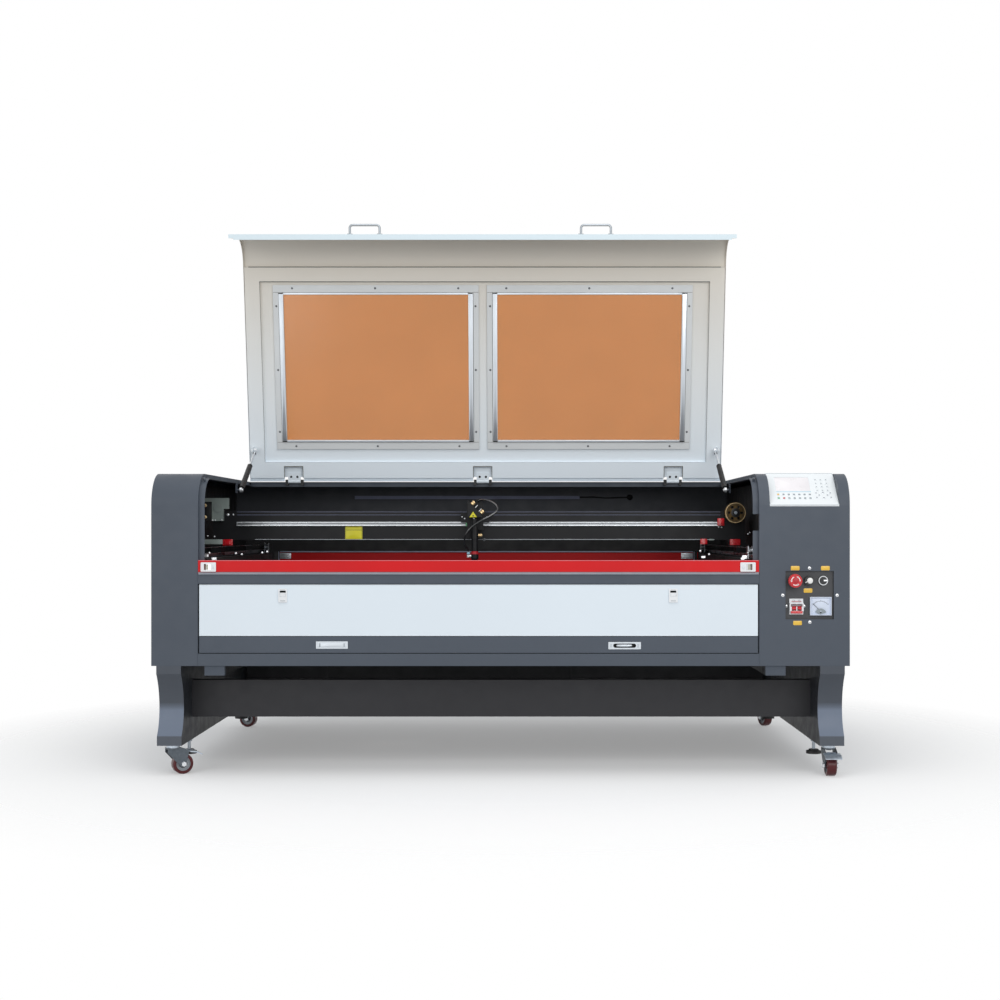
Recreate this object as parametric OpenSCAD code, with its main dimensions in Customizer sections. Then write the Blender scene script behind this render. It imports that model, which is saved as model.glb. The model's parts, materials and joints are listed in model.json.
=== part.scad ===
// Gantry laser engraving and cutting machine on a caster stand, lid open.
// Millimetres, +Z up, +Y to the back, origin under the middle of the overall box.

/* [Body] */
// Overall width across both side housings
body_w = 2096; // [1900:4:2300]
// Depth from the front face to the back face
body_d = 1380; // [1340:4:1500]
// Height of the top face above the floor
top_z = 914; // [890:2:960]
// Height of the bottom of the body above the floor
base_z = 334; // [310:2:350]
// Width of the left side housing
left_w = 140; // [125:1:160]
// Width of the right side housing
right_w = 272; // [262:1:300]
// Radius of the rounded front top edge
nose_r = 98; // [80:1:110]
// Thickness of the body's sheet steel
skin_t = 2; // [1.5:0.5:3]
// Width of the ledge that the lid closes onto
ledge_w = 17; // [14:1:19]
// Depth of that ledge below the outer skin
ledge_d = 16; // [14:1:20]

/* [Front] */
// Height of the lower edge of the feed flap
flap_z = 612; // [604:1:618]
// Height of the feed flap
flap_h = 39; // [34:1:44]
// Height of the lower edge of the front door
door_z = 424; // [418:1:432]
// Height of the front door
door_h = 154; // [140:1:158]
// Height of the lower edge of the drawer front
drawer_z = 373; // [366:1:380]
// Height of the drawer front
drawer_h = 49; // [44:1:50]
// Depth of the waste drawer
drawer_d = 600; // [400:10:800]
// Gap left round the doors
panel_gap = 4; // [3:0.5:5]
// Thickness of doors and flap
door_t = 2; // [1.5:0.5:3]

/* [Lid] */
// Distance of the lid hinge behind the front face
hinge_y = 864; // [840:2:890]
// Angle to which the lid stands open
lid_open = 79.5; // [60:0.5:85]
// Thickness of the lid's sheet
lid_t = 1.5; // [1:0.5:2.5]
// Gap between the lid and each side housing
lid_gap = 3; // [2:0.5:5]
// Depth of the lip round the lid
lip_d = 13; // [10:1:13.5]
// Width of the fold along the lid's front lower edge
fold_w = 18; // [12:1:24]
// Depth of the hollow frame round the lid's inside
pan_d = 11; // [9:1:12]
// Width of one window
window_w = 646; // [560:2:680]
// Length of one window
window_l = 510; // [440:2:540]
// Distance of the windows from the hinge line
window_s = 150; // [140:2:160]
// Width of the trim round a window
trim_w = 36; // [28:1:38]
// Width of the rib between the two windows
window_rib = 101; // [94:1:120]
// Thickness of a window sheet
window_t = 3; // [2:0.5:5]
// Thickness of a window trim
trim_t = 3; // [2:0.5:4]
// Distance between the feet of a lid handle
grip_l = 100; // [80:5:130]
// Height of a lid handle
grip_h = 35; // [28:1:45]
// Diameter of the handle rod
grip_rod = 8; // [6:1:10]

/* [Gas struts] */
// Distance of the lower strut pivot in front of the lid hinge
strut_foot_y = 334; // [300:2:350]
// Depth of the lower strut pivot below the lid hinge
strut_foot_z = 40; // [38:1:50]
// Distance of the upper strut pivot from the lid hinge
strut_top_s = 116; // [100:2:125]
// Depth of the upper strut pivot under the lid
strut_top_z = 38; // [36:1:44]
// Outer diameter of a strut cylinder
strut_od = 18; // [15:1:19]
// Diameter of a strut rod
strut_rod = 8; // [6:1:10]
// Length of a strut cylinder
strut_len = 172; // [160:1:178]

/* [Stand] */
// Depth of the side stands
stand_d = 1230; // [1150:10:1300]
// Width of a stand
stand_w = 74; // [66:1:84]
// Distance of a stand inside the body's side
stand_in = 15; // [6:1:24]
// Depth of the hollow curve in the front of a leg
waist_d = 40; // [25:1:50]
// Height of the waist above the floor
waist_z = 203; // [190:1:215]
// Height of the stretchers
stretcher_h = 114; // [90:2:130]
// Distance of the front stretcher behind the front face
stretcher_y = 154; // [130:2:200]
// Height of the rails under the body
rail_h = 29; // [20:1:35]

/* [Casters] */
// Diameter of a caster wheel
wheel_d = 62.5; // [56:0.5:64]
// Width of a caster wheel
wheel_w = 30; // [26:1:32]
// Overall height of a caster
caster_h = 93; // [92:1:98]
// Distance of the wheel axle from the swivel axis
trail = 28; // [24:1:30]
// Distance of a caster's swivel axis from the end of the stand
caster_in = 60; // [56:1:80]
// Diameter of a levelling foot
foot_d = 47; // [38:1:50]

/* [Work area] */
// Height of the side ledges that carry the guides
guide_z = 655; // [652:1:660]
// Height of the top of the cutting table
table_z = 600; // [592:1:606]
// Width of the ledge on the left
ledge_left = 122; // [118:1:124]
// Width of the ledge on the right
ledge_right = 94; // [90:1:96]
// Depth of the tube compartment at the back of the body
tube_bay = 230; // [220:2:240]
// Height of the floor of the tube compartment
tube_floor_z = 812; // [810:1:816]
// Diameter of the laser tube
tube_d = 80; // [60:2:86]
// Length of the laser tube
tube_len = 1560; // [1250:10:1600]
// Distance between the table's knife strips
strip_pitch = 60; // [40:5:100]

/* [Gantry] */
// Distance of the beam's front face behind the front face of the body
beam_y = 490; // [484:1:500]
// Height of the lower edge of the beam
beam_z = 709; // [706:1:712]
// Height of the beam
beam_h = 96; // [90:1:98]
// Depth of the beam
beam_dp = 60; // [50:1:64]
// Diameter of the large timing pulley
pulley_d = 68; // [56:1:72]
// Position of the laser head across the machine
head_x = -91; // [-400:10:400]
// Diameter of the lens tube
lens_d = 21; // [20:0.5:24]

/* [Control panel] */
// Side of the square control recess
recess_w = 145; // [140:1:150]
// Height of the lower edge of the recess
recess_z = 474; // [460:2:500]
// Depth of the recess behind the front face
recess_d = 8; // [6:1:12]
// Diameter of the emergency stop button
estop_d = 40; // [34:1:42]
// Distance that the emergency stop stands out of the recess
estop_h = 35; // [30:1:38]
// Diameter of the current knob
knob_d = 27; // [22:1:30]
// Diameter of the key switch
key_d = 30; // [26:1:32]
// Width of the keypad plate
keypad_w = 208; // [190:1:214]
// Thickness of the keypad plate
keypad_t = 5; // [3:1:6]

/* [Connections] */
// Diameter of the exhaust collar
collar_d = 150; // [120:2:160]
// Length of the exhaust collar
collar_l = 60; // [40:2:80]

/* [Hidden] */
$fn = 48;
// overcut that keeps cutting faces apart
e = 1;
// running fit between a pin and its bore, on the radius
fit = 0.05;
// clearance between neighbouring pieces that move past each other
gap = 0.3;

// colours
GREY = [0.36, 0.39, 0.44];
BLACK = [0.09, 0.09, 0.1];
DARK = [0.23, 0.23, 0.24];
RED = [0.86, 0.16, 0.19];
WHITE = [0.88, 0.91, 0.94];
SILVER = [0.75, 0.76, 0.78];
AMBER = [0.77, 0.54, 0.36, 0.7];
BRASS = [0.8, 0.62, 0.3];
MAROON = [0.35, 0.1, 0.11];

// left and right sides, and the edges of the opening between the housings
x_left = -body_w / 2;
x_right = body_w / 2;
open_l = x_left + left_w;
open_r = x_right - right_w;
// the part's box runs from the emergency stop to the end of the exhaust collar
front_y = (estop_h - recess_d - body_d - collar_l) / 2;
pan_top = base_z + skin_t;
roof_in = top_z - skin_t;
flap_top = flap_z + flap_h;

// heights and places that follow from the sizes above
flap_axis = [-2, flap_z - 1.5];
door_axis = [6, door_z + 4.5];
shelf_z = door_z - 5;
hinge_rod = 2.5;
flap_rod = 1;
flap_knuckle_r = 2;
flap_knuckles = 15;
front_fold = 38;
latch_t = 3;
latch_slide = 6;
flap_latch_z = [flap_z + 10, flap_z + 28];
door_latch_z = [door_z + 118, door_z + 136];
door_latch_xs = [open_l + 255, open_r - 258];
pull_xs = [open_l + 354, open_r - 452];
pull_w = 97;
pull_d = 14;
side_door_y = [250, 850];
side_door_z = [400, 780];
side_hinge = [7, 9];
rebate_notch = [740, 790];
bumper_angle = 62;
recess_x = x_right - 193;
keypad_x = open_r + 32;
keypad_l = nose_r * sqrt(2);
keypad_proud = 2;
pocket_z = keypad_proud - keypad_t;
hopper_x = [-577, 223];
rear_stretcher = stand_d - stretcher_y - 40;
hopper_y = [480, rear_stretcher - 16];
hopper_z = 190;
rail_xs = [-859, 826];
collar_x = (open_l + open_r) / 2;
collar_z = 520;
cover_x = [-700, 560];

// work area
table_l = open_l + 20;
table_r = open_r - 36;
chamber_l = table_l - ledge_left;
chamber_r = table_r + ledge_right;
frame_z = table_z - 40;
table_t = 3;
strip_t = 4;
strip_h = 20;
strip_gap = 0.2;
table_y = [45, body_d - 122];
chamber_back = body_d - 40;
tube_wall_y = body_d - tube_bay;

// lid
lid_axis_z = top_z + 2;
lid_drop = 2;
lid_low = flap_top + 2 - lid_axis_z;
lid_back = 2;
leaf_l = 32;
lid_l = open_l + lid_gap;
lid_r = open_r - lid_gap;
crease_s = hinge_y - nose_r - 11;
hinge_pin = 4;
knuckle_r = 7;
hinge_xs = [open_l + 159, (open_l + open_r) / 2 - 10, open_r - 173];
hinge_half = 32;
hinge_ear = 10;
window_mid = (open_l + open_r) / 2 - 7;
grip_xs = [open_l + 445, open_r - 464];
grip_up = 83;
strut_pin = 4;
strut_eye_in = 26;
strut_eye_out = 35;

// stand and casters
head_band = 24;
foot_set = 8;
foot_top = caster_h + 28;
stretcher_z = 163;
caster_x = x_right - stand_in - stand_w / 2;
fork_top = 80.7;
king_r = 5;
axle_r = 4;
foot_off = 120;
foot_low = 46;

// gantry and head
beam_x = [table_l - 77, table_r + 65];
rail_z = [beam_z + 46, beam_z + 60];
pulley_x = table_r + 30;
pulley_z = beam_z + 90;
mirror_x = table_l - 101;
lens_y = beam_y - 60;
plate_y = [beam_y - 27, beam_y - 21];
clamp_z = [beam_z + 3, beam_z + 31];
block_z = beam_z + 75;
tube_top = block_z - 6;
nozzle_z = beam_z - 67;
inlet_out = 21;
light_x = [-564, 280];
light_z = [tube_floor_z + 46, tube_floor_z + 58];
// points of the air hose, measured from the head's axis and from the beam's lower edge
HOSE = [
    [12, 32.2, 127], [12.6, 24, 128], [20, 12, 132], [36, 0, 131], [54, -10, 126], [70, -17, 115],
    [75, -21, 102], [72, -24, 94], [64, -26, 87], [48, -30, 77], [29.5, -33, 68], [8, -34, 55],
    [-12, -34, 40], [-25, -31, 24], [-32, -27, 6], [-33, -20, -12], [-31, -14, -19],
    [-24.5, -4, -28], [-21.2, -0.4, -33.5], [-21, 0, -38.3]
];

// control panel
estop_at = [recess_x + 26, recess_z + 116];
knob_at = [recess_x + 70, recess_z + 116];
key_at = [recess_x + 114, recess_z + 116];
breaker_x = [recess_x + 12, recess_x + 54];
breaker_z = [recess_z + 14, recess_z + 62];
toggle_axis = [recess_d + 2, breaker_z[0] + 20];
toggle_slot = [breaker_z[0] + 12, breaker_z[0] + 32];
meter_x = [recess_x + 74, recess_x + 138];
meter_z = [recess_z + 12, recess_z + 67];
supply_y = 260;
supply_size = [130, 300, 170];
driver_size = [90, 50, 150];
needle_at = [(meter_x[0] + meter_x[1]) / 2, meter_z[0] + 12];
key_w = 8;
screen_x = [25, 131];
screen_y = [60, 122];

// a box given by its two limits on each axis
module slab(x, y, z) {
    translate([x[0], y[0], z[0]]) cube([x[1] - x[0], y[1] - y[0], z[1] - z[0]]);
}

// puts what is measured from the front face into the machine's frame
module in_frame() {
    translate([0, front_y, 0]) children();
}

// extrudes a shape drawn in depth and height across the machine
module across(x) {
    translate([x[0], 0, 0]) rotate([90, 0, 90]) linear_extrude(x[1] - x[0]) children();
}

// a round bar along X, Y or Z from a start point
module bar_x(p, r, l) {
    translate(p) rotate([0, 90, 0]) cylinder(r = r, h = l);
}
module bar_y(p, r, l) {
    translate(p) rotate([-90, 0, 0]) cylinder(r = r, h = l);
}
module bar_z(p, r, l) {
    translate(p) cylinder(r = r, h = l);
}

// ---- body ----

// side outline of the body, drawn smaller by an inset, with a true arc at the nose
module body_outline(inset, bottom) {
    cz = top_z - nose_r;
    difference() {
        translate([inset, bottom]) square([body_d - 2 * inset, top_z - inset - bottom]);
        difference() {
            translate([inset - e, cz]) square([nose_r - inset + e, nose_r + e]);
            translate([nose_r, cz]) circle(r = nose_r - inset, $fn = 96);
        }
    }
}

// a skin of one sheet thickness that follows the outline at a given inset
module outline_skin(inset, x, bottom) {
    across(x) difference() {
        body_outline(inset, bottom);
        body_outline(inset + skin_t, bottom - e);
    }
}

// rebate beside the opening: an upright band, then the ledge that the lid closes onto
module lid_rebate(edge, side) {
    band = side > 0 ? [edge - skin_t, edge] : [edge, edge + skin_t];
    ledge = side > 0 ? [edge, edge + ledge_w] : [edge - ledge_w, edge];
    intersection() {
        union() {
            across(band) difference() {
                body_outline(skin_t, flap_top);
                body_outline(ledge_d, flap_top - e);
            }
            outline_skin(ledge_d - skin_t, ledge, flap_top);
        }
        slab([edge - ledge_w - skin_t, edge + ledge_w + skin_t], [-e, hinge_y - 14], [flap_top, top_z]);
    }
}

// round bumper on the bent part of the ledge, just under the closed lid's sheet
module bumper(edge, side) {
    foot = nose_r - ledge_d + skin_t - 1;
    translate([edge + side * ledge_w / 2, nose_r, top_z - nose_r]) rotate([90 - bumper_angle, 0, 0])
        bar_z([0, 0, foot], 3.5, nose_r - lid_t - gap - foot);
}

// bracket under the ledge with the ball stud of a gas strut
module strut_bracket(edge, side) {
    y = hinge_y - strut_foot_y;
    z = lid_axis_z - strut_foot_z;
    x = edge + side * ledge_w;
    plate = side > 0 ? [x - 3, x] : [x, x + 3];
    slab(plate, [y - 12, y + 12], [z - 10, top_z - ledge_d]);
    if (side > 0) bar_x([x, y, z], strut_pin, strut_eye_out - ledge_w);
    else bar_x([x - strut_eye_out + ledge_w, y, z], strut_pin, strut_eye_out - ledge_w);
}

module left_housing() color(GREY) in_frame() {
    outline_skin(0, [x_left, open_l], pan_top);
    across([x_left, x_left + skin_t]) body_outline(skin_t, pan_top);
    lid_rebate(open_l, 1);
    bumper(open_l, 1);
    strut_bracket(open_l, 1);
}

module right_housing() color(GREY) in_frame() {
    difference() {
        union() {
            outline_skin(0, [open_r, x_right], pan_top);
            across([x_right - skin_t, x_right]) body_outline(skin_t, pan_top);
            lid_rebate(open_r, -1);
            // sloping bed that carries the keypad, with its two cheeks
            intersection() {
                across([keypad_x - skin_t, keypad_x + keypad_w + skin_t]) body_outline(0, pan_top);
                keypad_place()
                    slab([-skin_t, keypad_w + skin_t], [-9, keypad_l + 9], [pocket_z - skin_t, nose_r]);
            }
        }
        // pocket for the keypad, cut square to its slope
        keypad_place() slab([-gap, keypad_w + gap], [-2 - gap, keypad_l + 2 + gap], [pocket_z, nose_r]);
        slab([recess_x, recess_x + recess_w], [-e, skin_t + e], [recess_z, recess_z + recess_w]);
        slab([x_right - 2 * skin_t, x_right + e], side_door_y, side_door_z);
        slab([open_r - ledge_w - e, open_r + e], [-e, ledge_d + e], rebate_notch);
    }
    bumper(open_r, -1);
    strut_bracket(open_r, -1);
    // upright rod and its two brackets, which carry the side door
    side_hinge_x = x_right - side_hinge[0];
    side_hinge_y = side_door_y[1] - side_hinge[1];
    for (z = [side_door_z[0] - 14, side_door_z[1] + 6]) {
        slab([side_hinge_x - 5, x_right - skin_t], [side_hinge_y - 5, side_hinge_y + 5], [z, z + 8]);
    }
    bar_z([side_hinge_x, side_hinge_y, side_door_z[0] - 10], hinge_rod, side_door_z[1] - side_door_z[0] + 20);
}

// the keypad's own frame: X along its width, Y up its slope, Z out of the slope
module keypad_place() {
    translate([keypad_x, 0, top_z - nose_r]) rotate([45, 0, 0]) children();
}

module front_frame() color(GREY) in_frame() {
    band_z = [door_z + door_h + skin_t, flap_z - skin_t];
    // band between the flap and the door, folded back at both edges
    slab([open_l, open_r], [0, skin_t], band_z);
    slab([open_l, open_r], [skin_t, front_fold], [band_z[1] - skin_t, band_z[1]]);
    slab([open_l, open_r], [skin_t, 24], [band_z[0], band_z[0] + skin_t]);
    // sill under the drawer, folded back at its top
    slab([open_l, open_r], [0, skin_t], [pan_top, drawer_z - skin_t]);
    slab([open_l, open_r], [skin_t, front_fold], [drawer_z - 2 * skin_t, drawer_z - skin_t]);
    // cheeks that close the bays at both ends
    for (x = [open_l, open_r - skin_t]) {
        slab([x, x + skin_t], [8, front_fold], [drawer_z - skin_t, band_z[0]]);
    }
    // shelf over the drawer and its two runners
    slab([open_l + skin_t, open_r - skin_t], [20, drawer_d + 30], [shelf_z, shelf_z + skin_t]);
    for (x = [open_l + skin_t, open_r - skin_t - 10]) {
        slab([x, x + 10], [24, drawer_d + 30], [drawer_z - skin_t, drawer_z]);
    }
    // hinge rods of the door and the flap, and the fixed knuckles of the flap's hinge
    bar_x([open_l + skin_t, door_axis[0], door_axis[1]], hinge_rod, open_r - open_l - 2 * skin_t);
    bar_x([open_l + 2, flap_axis[0], flap_axis[1]], flap_rod, open_r - open_l - 4);
    for (i = [0:flap_knuckles]) {
        x = fixed_knuckle(i);
        bar_x([x[0], flap_axis[0], flap_axis[1]], flap_knuckle_r - 0.1, x[1] - x[0]);
        slab(x, [-1, skin_t], [flap_z - 4, flap_axis[1]]);
    }
}

// limits of a fixed and of a moving knuckle of the flap's hinge, which take turns
function flap_pitch() = (open_r - open_l - 4) / flap_knuckles;
function fixed_knuckle(i) = let (p = flap_pitch(), x = open_l + 2 + p * i)
    [max(x - p / 3, open_l + 2), min(x + p / 3, open_r - 2)];
function moving_knuckle(i) = [fixed_knuckle(i)[1] + gap, fixed_knuckle(i + 1)[0] - gap];

// floor with its hopper, and the channels that run from front to back under it
module base_pan() color(GREY) in_frame() {
    difference() {
        slab([x_left, x_right], [0, body_d], [base_z, pan_top]);
        slab(hopper_x, hopper_y, [base_z - e, pan_top + e]);
    }
    rail_in = 30 - skin_t;
    for (x = rail_xs) difference() {
        slab([x - 30, x + 30], [4, stand_d], [base_z - rail_h, base_z]);
        slab([x - rail_in, x + rail_in], [4 + skin_t, stand_d + e], [base_z - rail_h + skin_t, base_z + e]);
    }
    // waste hopper: four walls and a floor with the suction port
    hz = [hopper_z, base_z];
    wall_y = [hopper_y[0] - skin_t, hopper_y[1] + skin_t];
    for (x = [hopper_x[0] - skin_t, hopper_x[1]]) slab([x, x + skin_t], wall_y, hz);
    for (y = [wall_y[0], hopper_y[1]]) slab(hopper_x, [y, y + skin_t], hz);
    difference() {
        slab(hopper_x, hopper_y, [hopper_z, hopper_z + skin_t]);
        bar_z([hopper_x[0] + 200, hopper_y[0] + 200, hopper_z - e], 60, skin_t + 2 * e);
    }
}

// roof behind the lid, back wall and the lip under the hinges
module rear_housing() color(GREY) in_frame() {
    roof_y = hinge_y + 12;
    slab([open_l, open_r], [roof_y, body_d - skin_t], [roof_in, top_z]);
    slab([open_l, open_r], [roof_y, roof_y + skin_t], [top_z - 17, roof_in]);
    difference() {
        slab([open_l, open_r], [body_d - skin_t, body_d], [pan_top, top_z]);
        bar_y([collar_x, body_d - skin_t - e, collar_z], collar_d / 2 - skin_t, skin_t + 2 * e);
        // louvres for the cooling air of the compartment
        for (i = [0:5]) slab([300, 520], [body_d - skin_t - e, body_d + e], [440 + 22 * i, 448 + 22 * i]);
    }
    // cover plate over the tube compartment, with its own raised edge
    difference() {
        slab(cover_x, [body_d, body_d + 3], [tube_floor_z - 20, top_z - 14]);
        slab([cover_x[0] + 12, cover_x[1] - 12], [body_d + 1.5, body_d + 3 + e],
            [tube_floor_z - 8, top_z - 26]);
    }
}

// black inner walls, guide ledges and tube compartment
module work_chamber() color(BLACK) in_frame() {
    y = [front_fold + skin_t, chamber_back];
    side_top = top_z - ledge_d - 2 * skin_t;
    difference() {
        for (x = [chamber_l - skin_t, chamber_r]) {
            across([x, x + skin_t]) intersection() {
                body_outline(ledge_d + skin_t, pan_top);
                translate([y[0], pan_top]) square([y[1] - y[0], side_top - pan_top]);
            }
        }
        // kept clear of the keypad's bed
        keypad_place() slab([-2 * skin_t, keypad_w + 2 * skin_t], [-11, keypad_l + 11],
            [pocket_z - skin_t - 1, nose_r]);
    }
    // ledges with their down-turned faces and the lips that carry the table
    for (s = [[chamber_l, table_l, table_l, table_l + 18], [table_r, chamber_r, table_r - 18, table_r]]) {
        slab([s[0], s[1]], y, [guide_z - skin_t, guide_z]);
        slab([s[2], s[3]], [table_y[0], y[1]], [frame_z - skin_t, frame_z]);
    }
    for (x = [table_l - skin_t, table_r]) slab([x, x + skin_t], y, [frame_z - skin_t, guide_z - skin_t]);
    // back wall below the tube compartment
    slab([chamber_l - skin_t, chamber_r + skin_t], [y[1], y[1] + skin_t], [pan_top, tube_floor_z]);
    // compartment wall and floor
    slab([chamber_l, chamber_r], [tube_wall_y, tube_wall_y + skin_t], [tube_floor_z, roof_in]);
    slab([chamber_l, chamber_r], [tube_wall_y, y[1]], [tube_floor_z - skin_t, tube_floor_z]);
}

// cutting table: frame with two cross bearers, and the loose knife strips that lie on them
module slat_table() color(SILVER) in_frame() {
    x = [table_l + gap, table_r - gap];
    inner_x = [x[0] + table_t, x[1] - table_t];
    inner_y = [table_y[0] + table_t, table_y[1] - table_t];
    difference() {
        slab(x, table_y, [frame_z, table_z - 8]);
        slab(inner_x, inner_y, [frame_z - e, table_z]);
    }
    for (y = [table_y[0] + 300, table_y[1] - 300]) {
        slab(inner_x, [y - 15, y + 15], [frame_z, table_z - strip_h]);
    }
    for (x = [table_l + strip_pitch / 2:strip_pitch:table_r - strip_pitch / 2]) {
        slab([x - strip_t / 2, x + strip_t / 2], [inner_y[0] + strip_gap, inner_y[1] - strip_gap],
            [table_z - strip_h + strip_gap, table_z]);
    }
}

module rear_cross_bar() color(RED) in_frame() {
    y = [table_y[1] + 3, table_y[1] + 27];
    top = guide_z + 2;
    difference() {
        slab([table_l, table_r], y, [frame_z, top]);
        slab([table_l - e, table_r + e], [y[0] + skin_t, y[1] + e], [frame_z - e, top - skin_t]);
    }
}

// ---- stand and casters ----

// radius of an arc of a given half chord and depth
function arc_r(half, depth) = (half * half + depth * depth) / (2 * depth);

// side outline of a stand: straight head, waisted legs and flat feet at both ends
module stand_outline(inset, top) {
    upper = base_z - head_band - waist_z;
    lower = waist_z - foot_top;
    ru = arc_r(upper, waist_d);
    rl = arc_r(lower, waist_d - foot_set);
    difference() {
        translate([inset, caster_h + inset]) square([stand_d - 2 * inset, top - caster_h - inset]);
        for (m = [0, 1]) translate([m * stand_d, 0]) mirror([m, 0]) {
            intersection() {
                translate([waist_d - ru, waist_z]) circle(r = ru + inset, $fn = 120);
                translate([0, waist_z]) square([stand_d, upper + inset]);
            }
            intersection() {
                translate([waist_d - rl, waist_z]) circle(r = rl + inset, $fn = 120);
                translate([0, foot_top]) square([stand_d, lower]);
            }
            translate([-e, caster_h - e]) square([foot_set + inset + e, foot_top - caster_h + e]);
        }
    }
}

module stand(x) {
    difference() {
        across(x) stand_outline(0, base_z);
        across([x[0] + skin_t, x[1] - skin_t]) stand_outline(skin_t, base_z + e);
    }
}

module side_stands() color(GREY) in_frame() {
    stand([x_left + stand_in, x_left + stand_in + stand_w]);
    stand([x_right - stand_in - stand_w, x_right - stand_in]);
}

// a channel between the stands, open towards the inside of the machine
module stretcher(y, back) {
    x = [x_left + stand_in + stand_w, x_right - stand_in - stand_w];
    z = [stretcher_z, stretcher_z + stretcher_h];
    web = back ? [y + 38, y + 40] : [y, y + skin_t];
    slab(x, web, z);
    flange = back ? [y, y + 38] : [y + skin_t, y + 40];
    for (f = [z[0], z[1] - skin_t]) slab(x, flange, [f, f + skin_t]);
}

module stretchers() color(DARK) in_frame() {
    stretcher(stretcher_y, false);
    stretcher(rear_stretcher, true);
}

// the four corners: side, distance back, swivel angle
CORNERS = [
    [-1, caster_in, 28], [1, caster_in, -90],
    [-1, stand_d - caster_in, -12], [1, stand_d - caster_in, 112]
];

module at_corner(i) {
    c = CORNERS[i];
    translate([c[0] * caster_x, c[1], 0]) children();
}

// top plates with their king pins and bearing races
module caster_plates() color(SILVER) in_frame() {
    for (i = [0:3]) at_corner(i) {
        slab([-30, 30], [-30, 30], [caster_h - 3, caster_h]);
        bar_z([0, 0, fork_top + gap], 20, caster_h - 3 - fork_top - gap);
        bar_z([0, 0, fork_top - 7], king_r, 8);
        bar_z([0, 0, fork_top - 7], king_r + 3, 3);
    }
}

// levelling feet: plate, stud, nut and rubber pad
module levelling_feet() color(BLACK) in_frame() {
    for (i = [0:3]) {
        c = CORNERS[i];
        y = c[1] + (c[1] < stand_d / 2 ? foot_off : -foot_off);
        translate([c[0] * (caster_x - 22), y, 0]) {
            bar_z([0, 0, foot_low + 10], 5, caster_h - foot_low - 10);
            bar_z([0, 0, caster_h - 9], 9, 6);
            bar_z([0, 0, caster_h - 3], 13, 3);
            bar_z([0, 0, foot_low], foot_d / 2, 8);
            bar_z([0, 0, foot_low + 8], foot_d / 2 - 8, 5);
        }
    }
}

// a point on the caster where the brake pedal turns: along the trail, height
function pedal_axis() = [trail + 10, wheel_d + 5];

// fork with its axle, turned to the angle that the caster stands at
module caster_fork(i, brake) {
    arm_in = wheel_w / 2 + 1.2;
    r = wheel_d / 2;
    p = pedal_axis();
    at_corner(i) rotate(CORNERS[i][2]) {
        difference() {
            union() {
                slab([-20, 20], [-arm_in - 2.5, arm_in + 2.5], [fork_top - 3.5, fork_top]);
                bar_z([0, 0, fork_top - 3.5], 22, 3.5);
            }
            bar_z([0, 0, fork_top - 5], king_r + fit, 7);
        }
        for (s = [-1, 1]) translate([0, s * (arm_in + 1.25) + 1.25, 0]) rotate([90, 0, 0]) linear_extrude(2.5)
            polygon([
                [-20, fork_top], [20, fork_top], [p[0] + 5, p[1] + 5], [p[0] + 5, p[1] - 5],
                [trail + 9, r + 6], [trail + 9, r - 8], [trail - 9, r - 8], [-20, fork_top - 14]
            ]);
        // axle with its nuts
        bar_y([trail, -arm_in - 2.5, r], axle_r, 2 * arm_in + 5);
        for (s = [-arm_in - 7.5, arm_in + 2.5]) bar_y([trail, s, r], 7, 5);
        if (brake) bar_y([p[0], -arm_in - 2.5, p[1]], 2, 2 * arm_in + 5);
    }
}

// wheel: tyre with rounded shoulders on a hub with a boss
module caster_wheel(i) color(MAROON) in_frame() at_corner(i) rotate(CORNERS[i][2]) {
    r = wheel_d / 2;
    h = wheel_w / 2;
    translate([trail, 0, r]) rotate([90, 0, 0]) rotate_extrude($fn = 72) difference() {
        union() {
            translate([axle_r + fit, -h + 6]) square([r - axle_r - fit - 5, 2 * h - 12]);
            translate([axle_r + fit, -h]) square([5, 2 * h]);
            translate([r - 9, -h]) square([4, 2 * h]);
            translate([r - 9, -h + 5]) square([9, 2 * h - 10]);
            for (s = [-1, 1]) translate([r - 5, s * (h - 5)]) circle(r = 5);
        }
    }
}

// brake pedal: knuckle on its pin and the foot plate
module caster_brake(i) color(SILVER) in_frame() at_corner(i) rotate(CORNERS[i][2]) {
    p = pedal_axis();
    half = wheel_w / 2 - 1;
    difference() {
        union() {
            bar_y([p[0], -half, p[1]], 4.5, 2 * half);
            translate([p[0], half, p[1]]) rotate([90, 0, 0]) linear_extrude(2 * half)
                polygon([[0, 4.5], [0, 1.5], [12, -1], [12, 2]]);
            translate([p[0], 25, p[1]]) rotate([90, 0, 0]) linear_extrude(50)
                polygon([[8, 2.8], [8, 0], [28, -3], [46, -11], [47, -8], [29, 0.5]]);
        }
        bar_y([p[0], -half - e, p[1]], 2 + fit, 2 * half + 2 * e);
    }
}

module caster_fork_fl() color(SILVER) in_frame() caster_fork(0, true);
module caster_fork_fr() color(SILVER) in_frame() caster_fork(1, true);
module caster_fork_rl() color(SILVER) in_frame() caster_fork(2, false);
module caster_fork_rr() color(SILVER) in_frame() caster_fork(3, false);
module caster_wheel_fl() caster_wheel(0);
module caster_wheel_fr() caster_wheel(1);
module caster_wheel_rl() caster_wheel(2);
module caster_wheel_rr() caster_wheel(3);
module caster_brake_fl() caster_brake(0);
module caster_brake_fr() caster_brake(1);

// ---- lid and gas struts ----

// the lid's own frame, drawn closed with the hinge line at its origin, then opened
module lid_frame() {
    translate([0, front_y + hinge_y, lid_axis_z]) rotate([-lid_open, 0, 0]) children();
}

// outline of the closed lid in front of its hinge, drawn smaller by an inset
module lid_outline(inset, low, back) {
    centre = [-hinge_y + nose_r, -lid_drop - nose_r];
    difference() {
        translate([-hinge_y + inset, low]) square([hinge_y - inset + back, -lid_drop - inset - low]);
        difference() {
            translate([centre[0] - nose_r - e, centre[1]]) square([nose_r + e, nose_r + e]);
            translate(centre) circle(r = nose_r - inset, $fn = 96);
        }
    }
}

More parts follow.
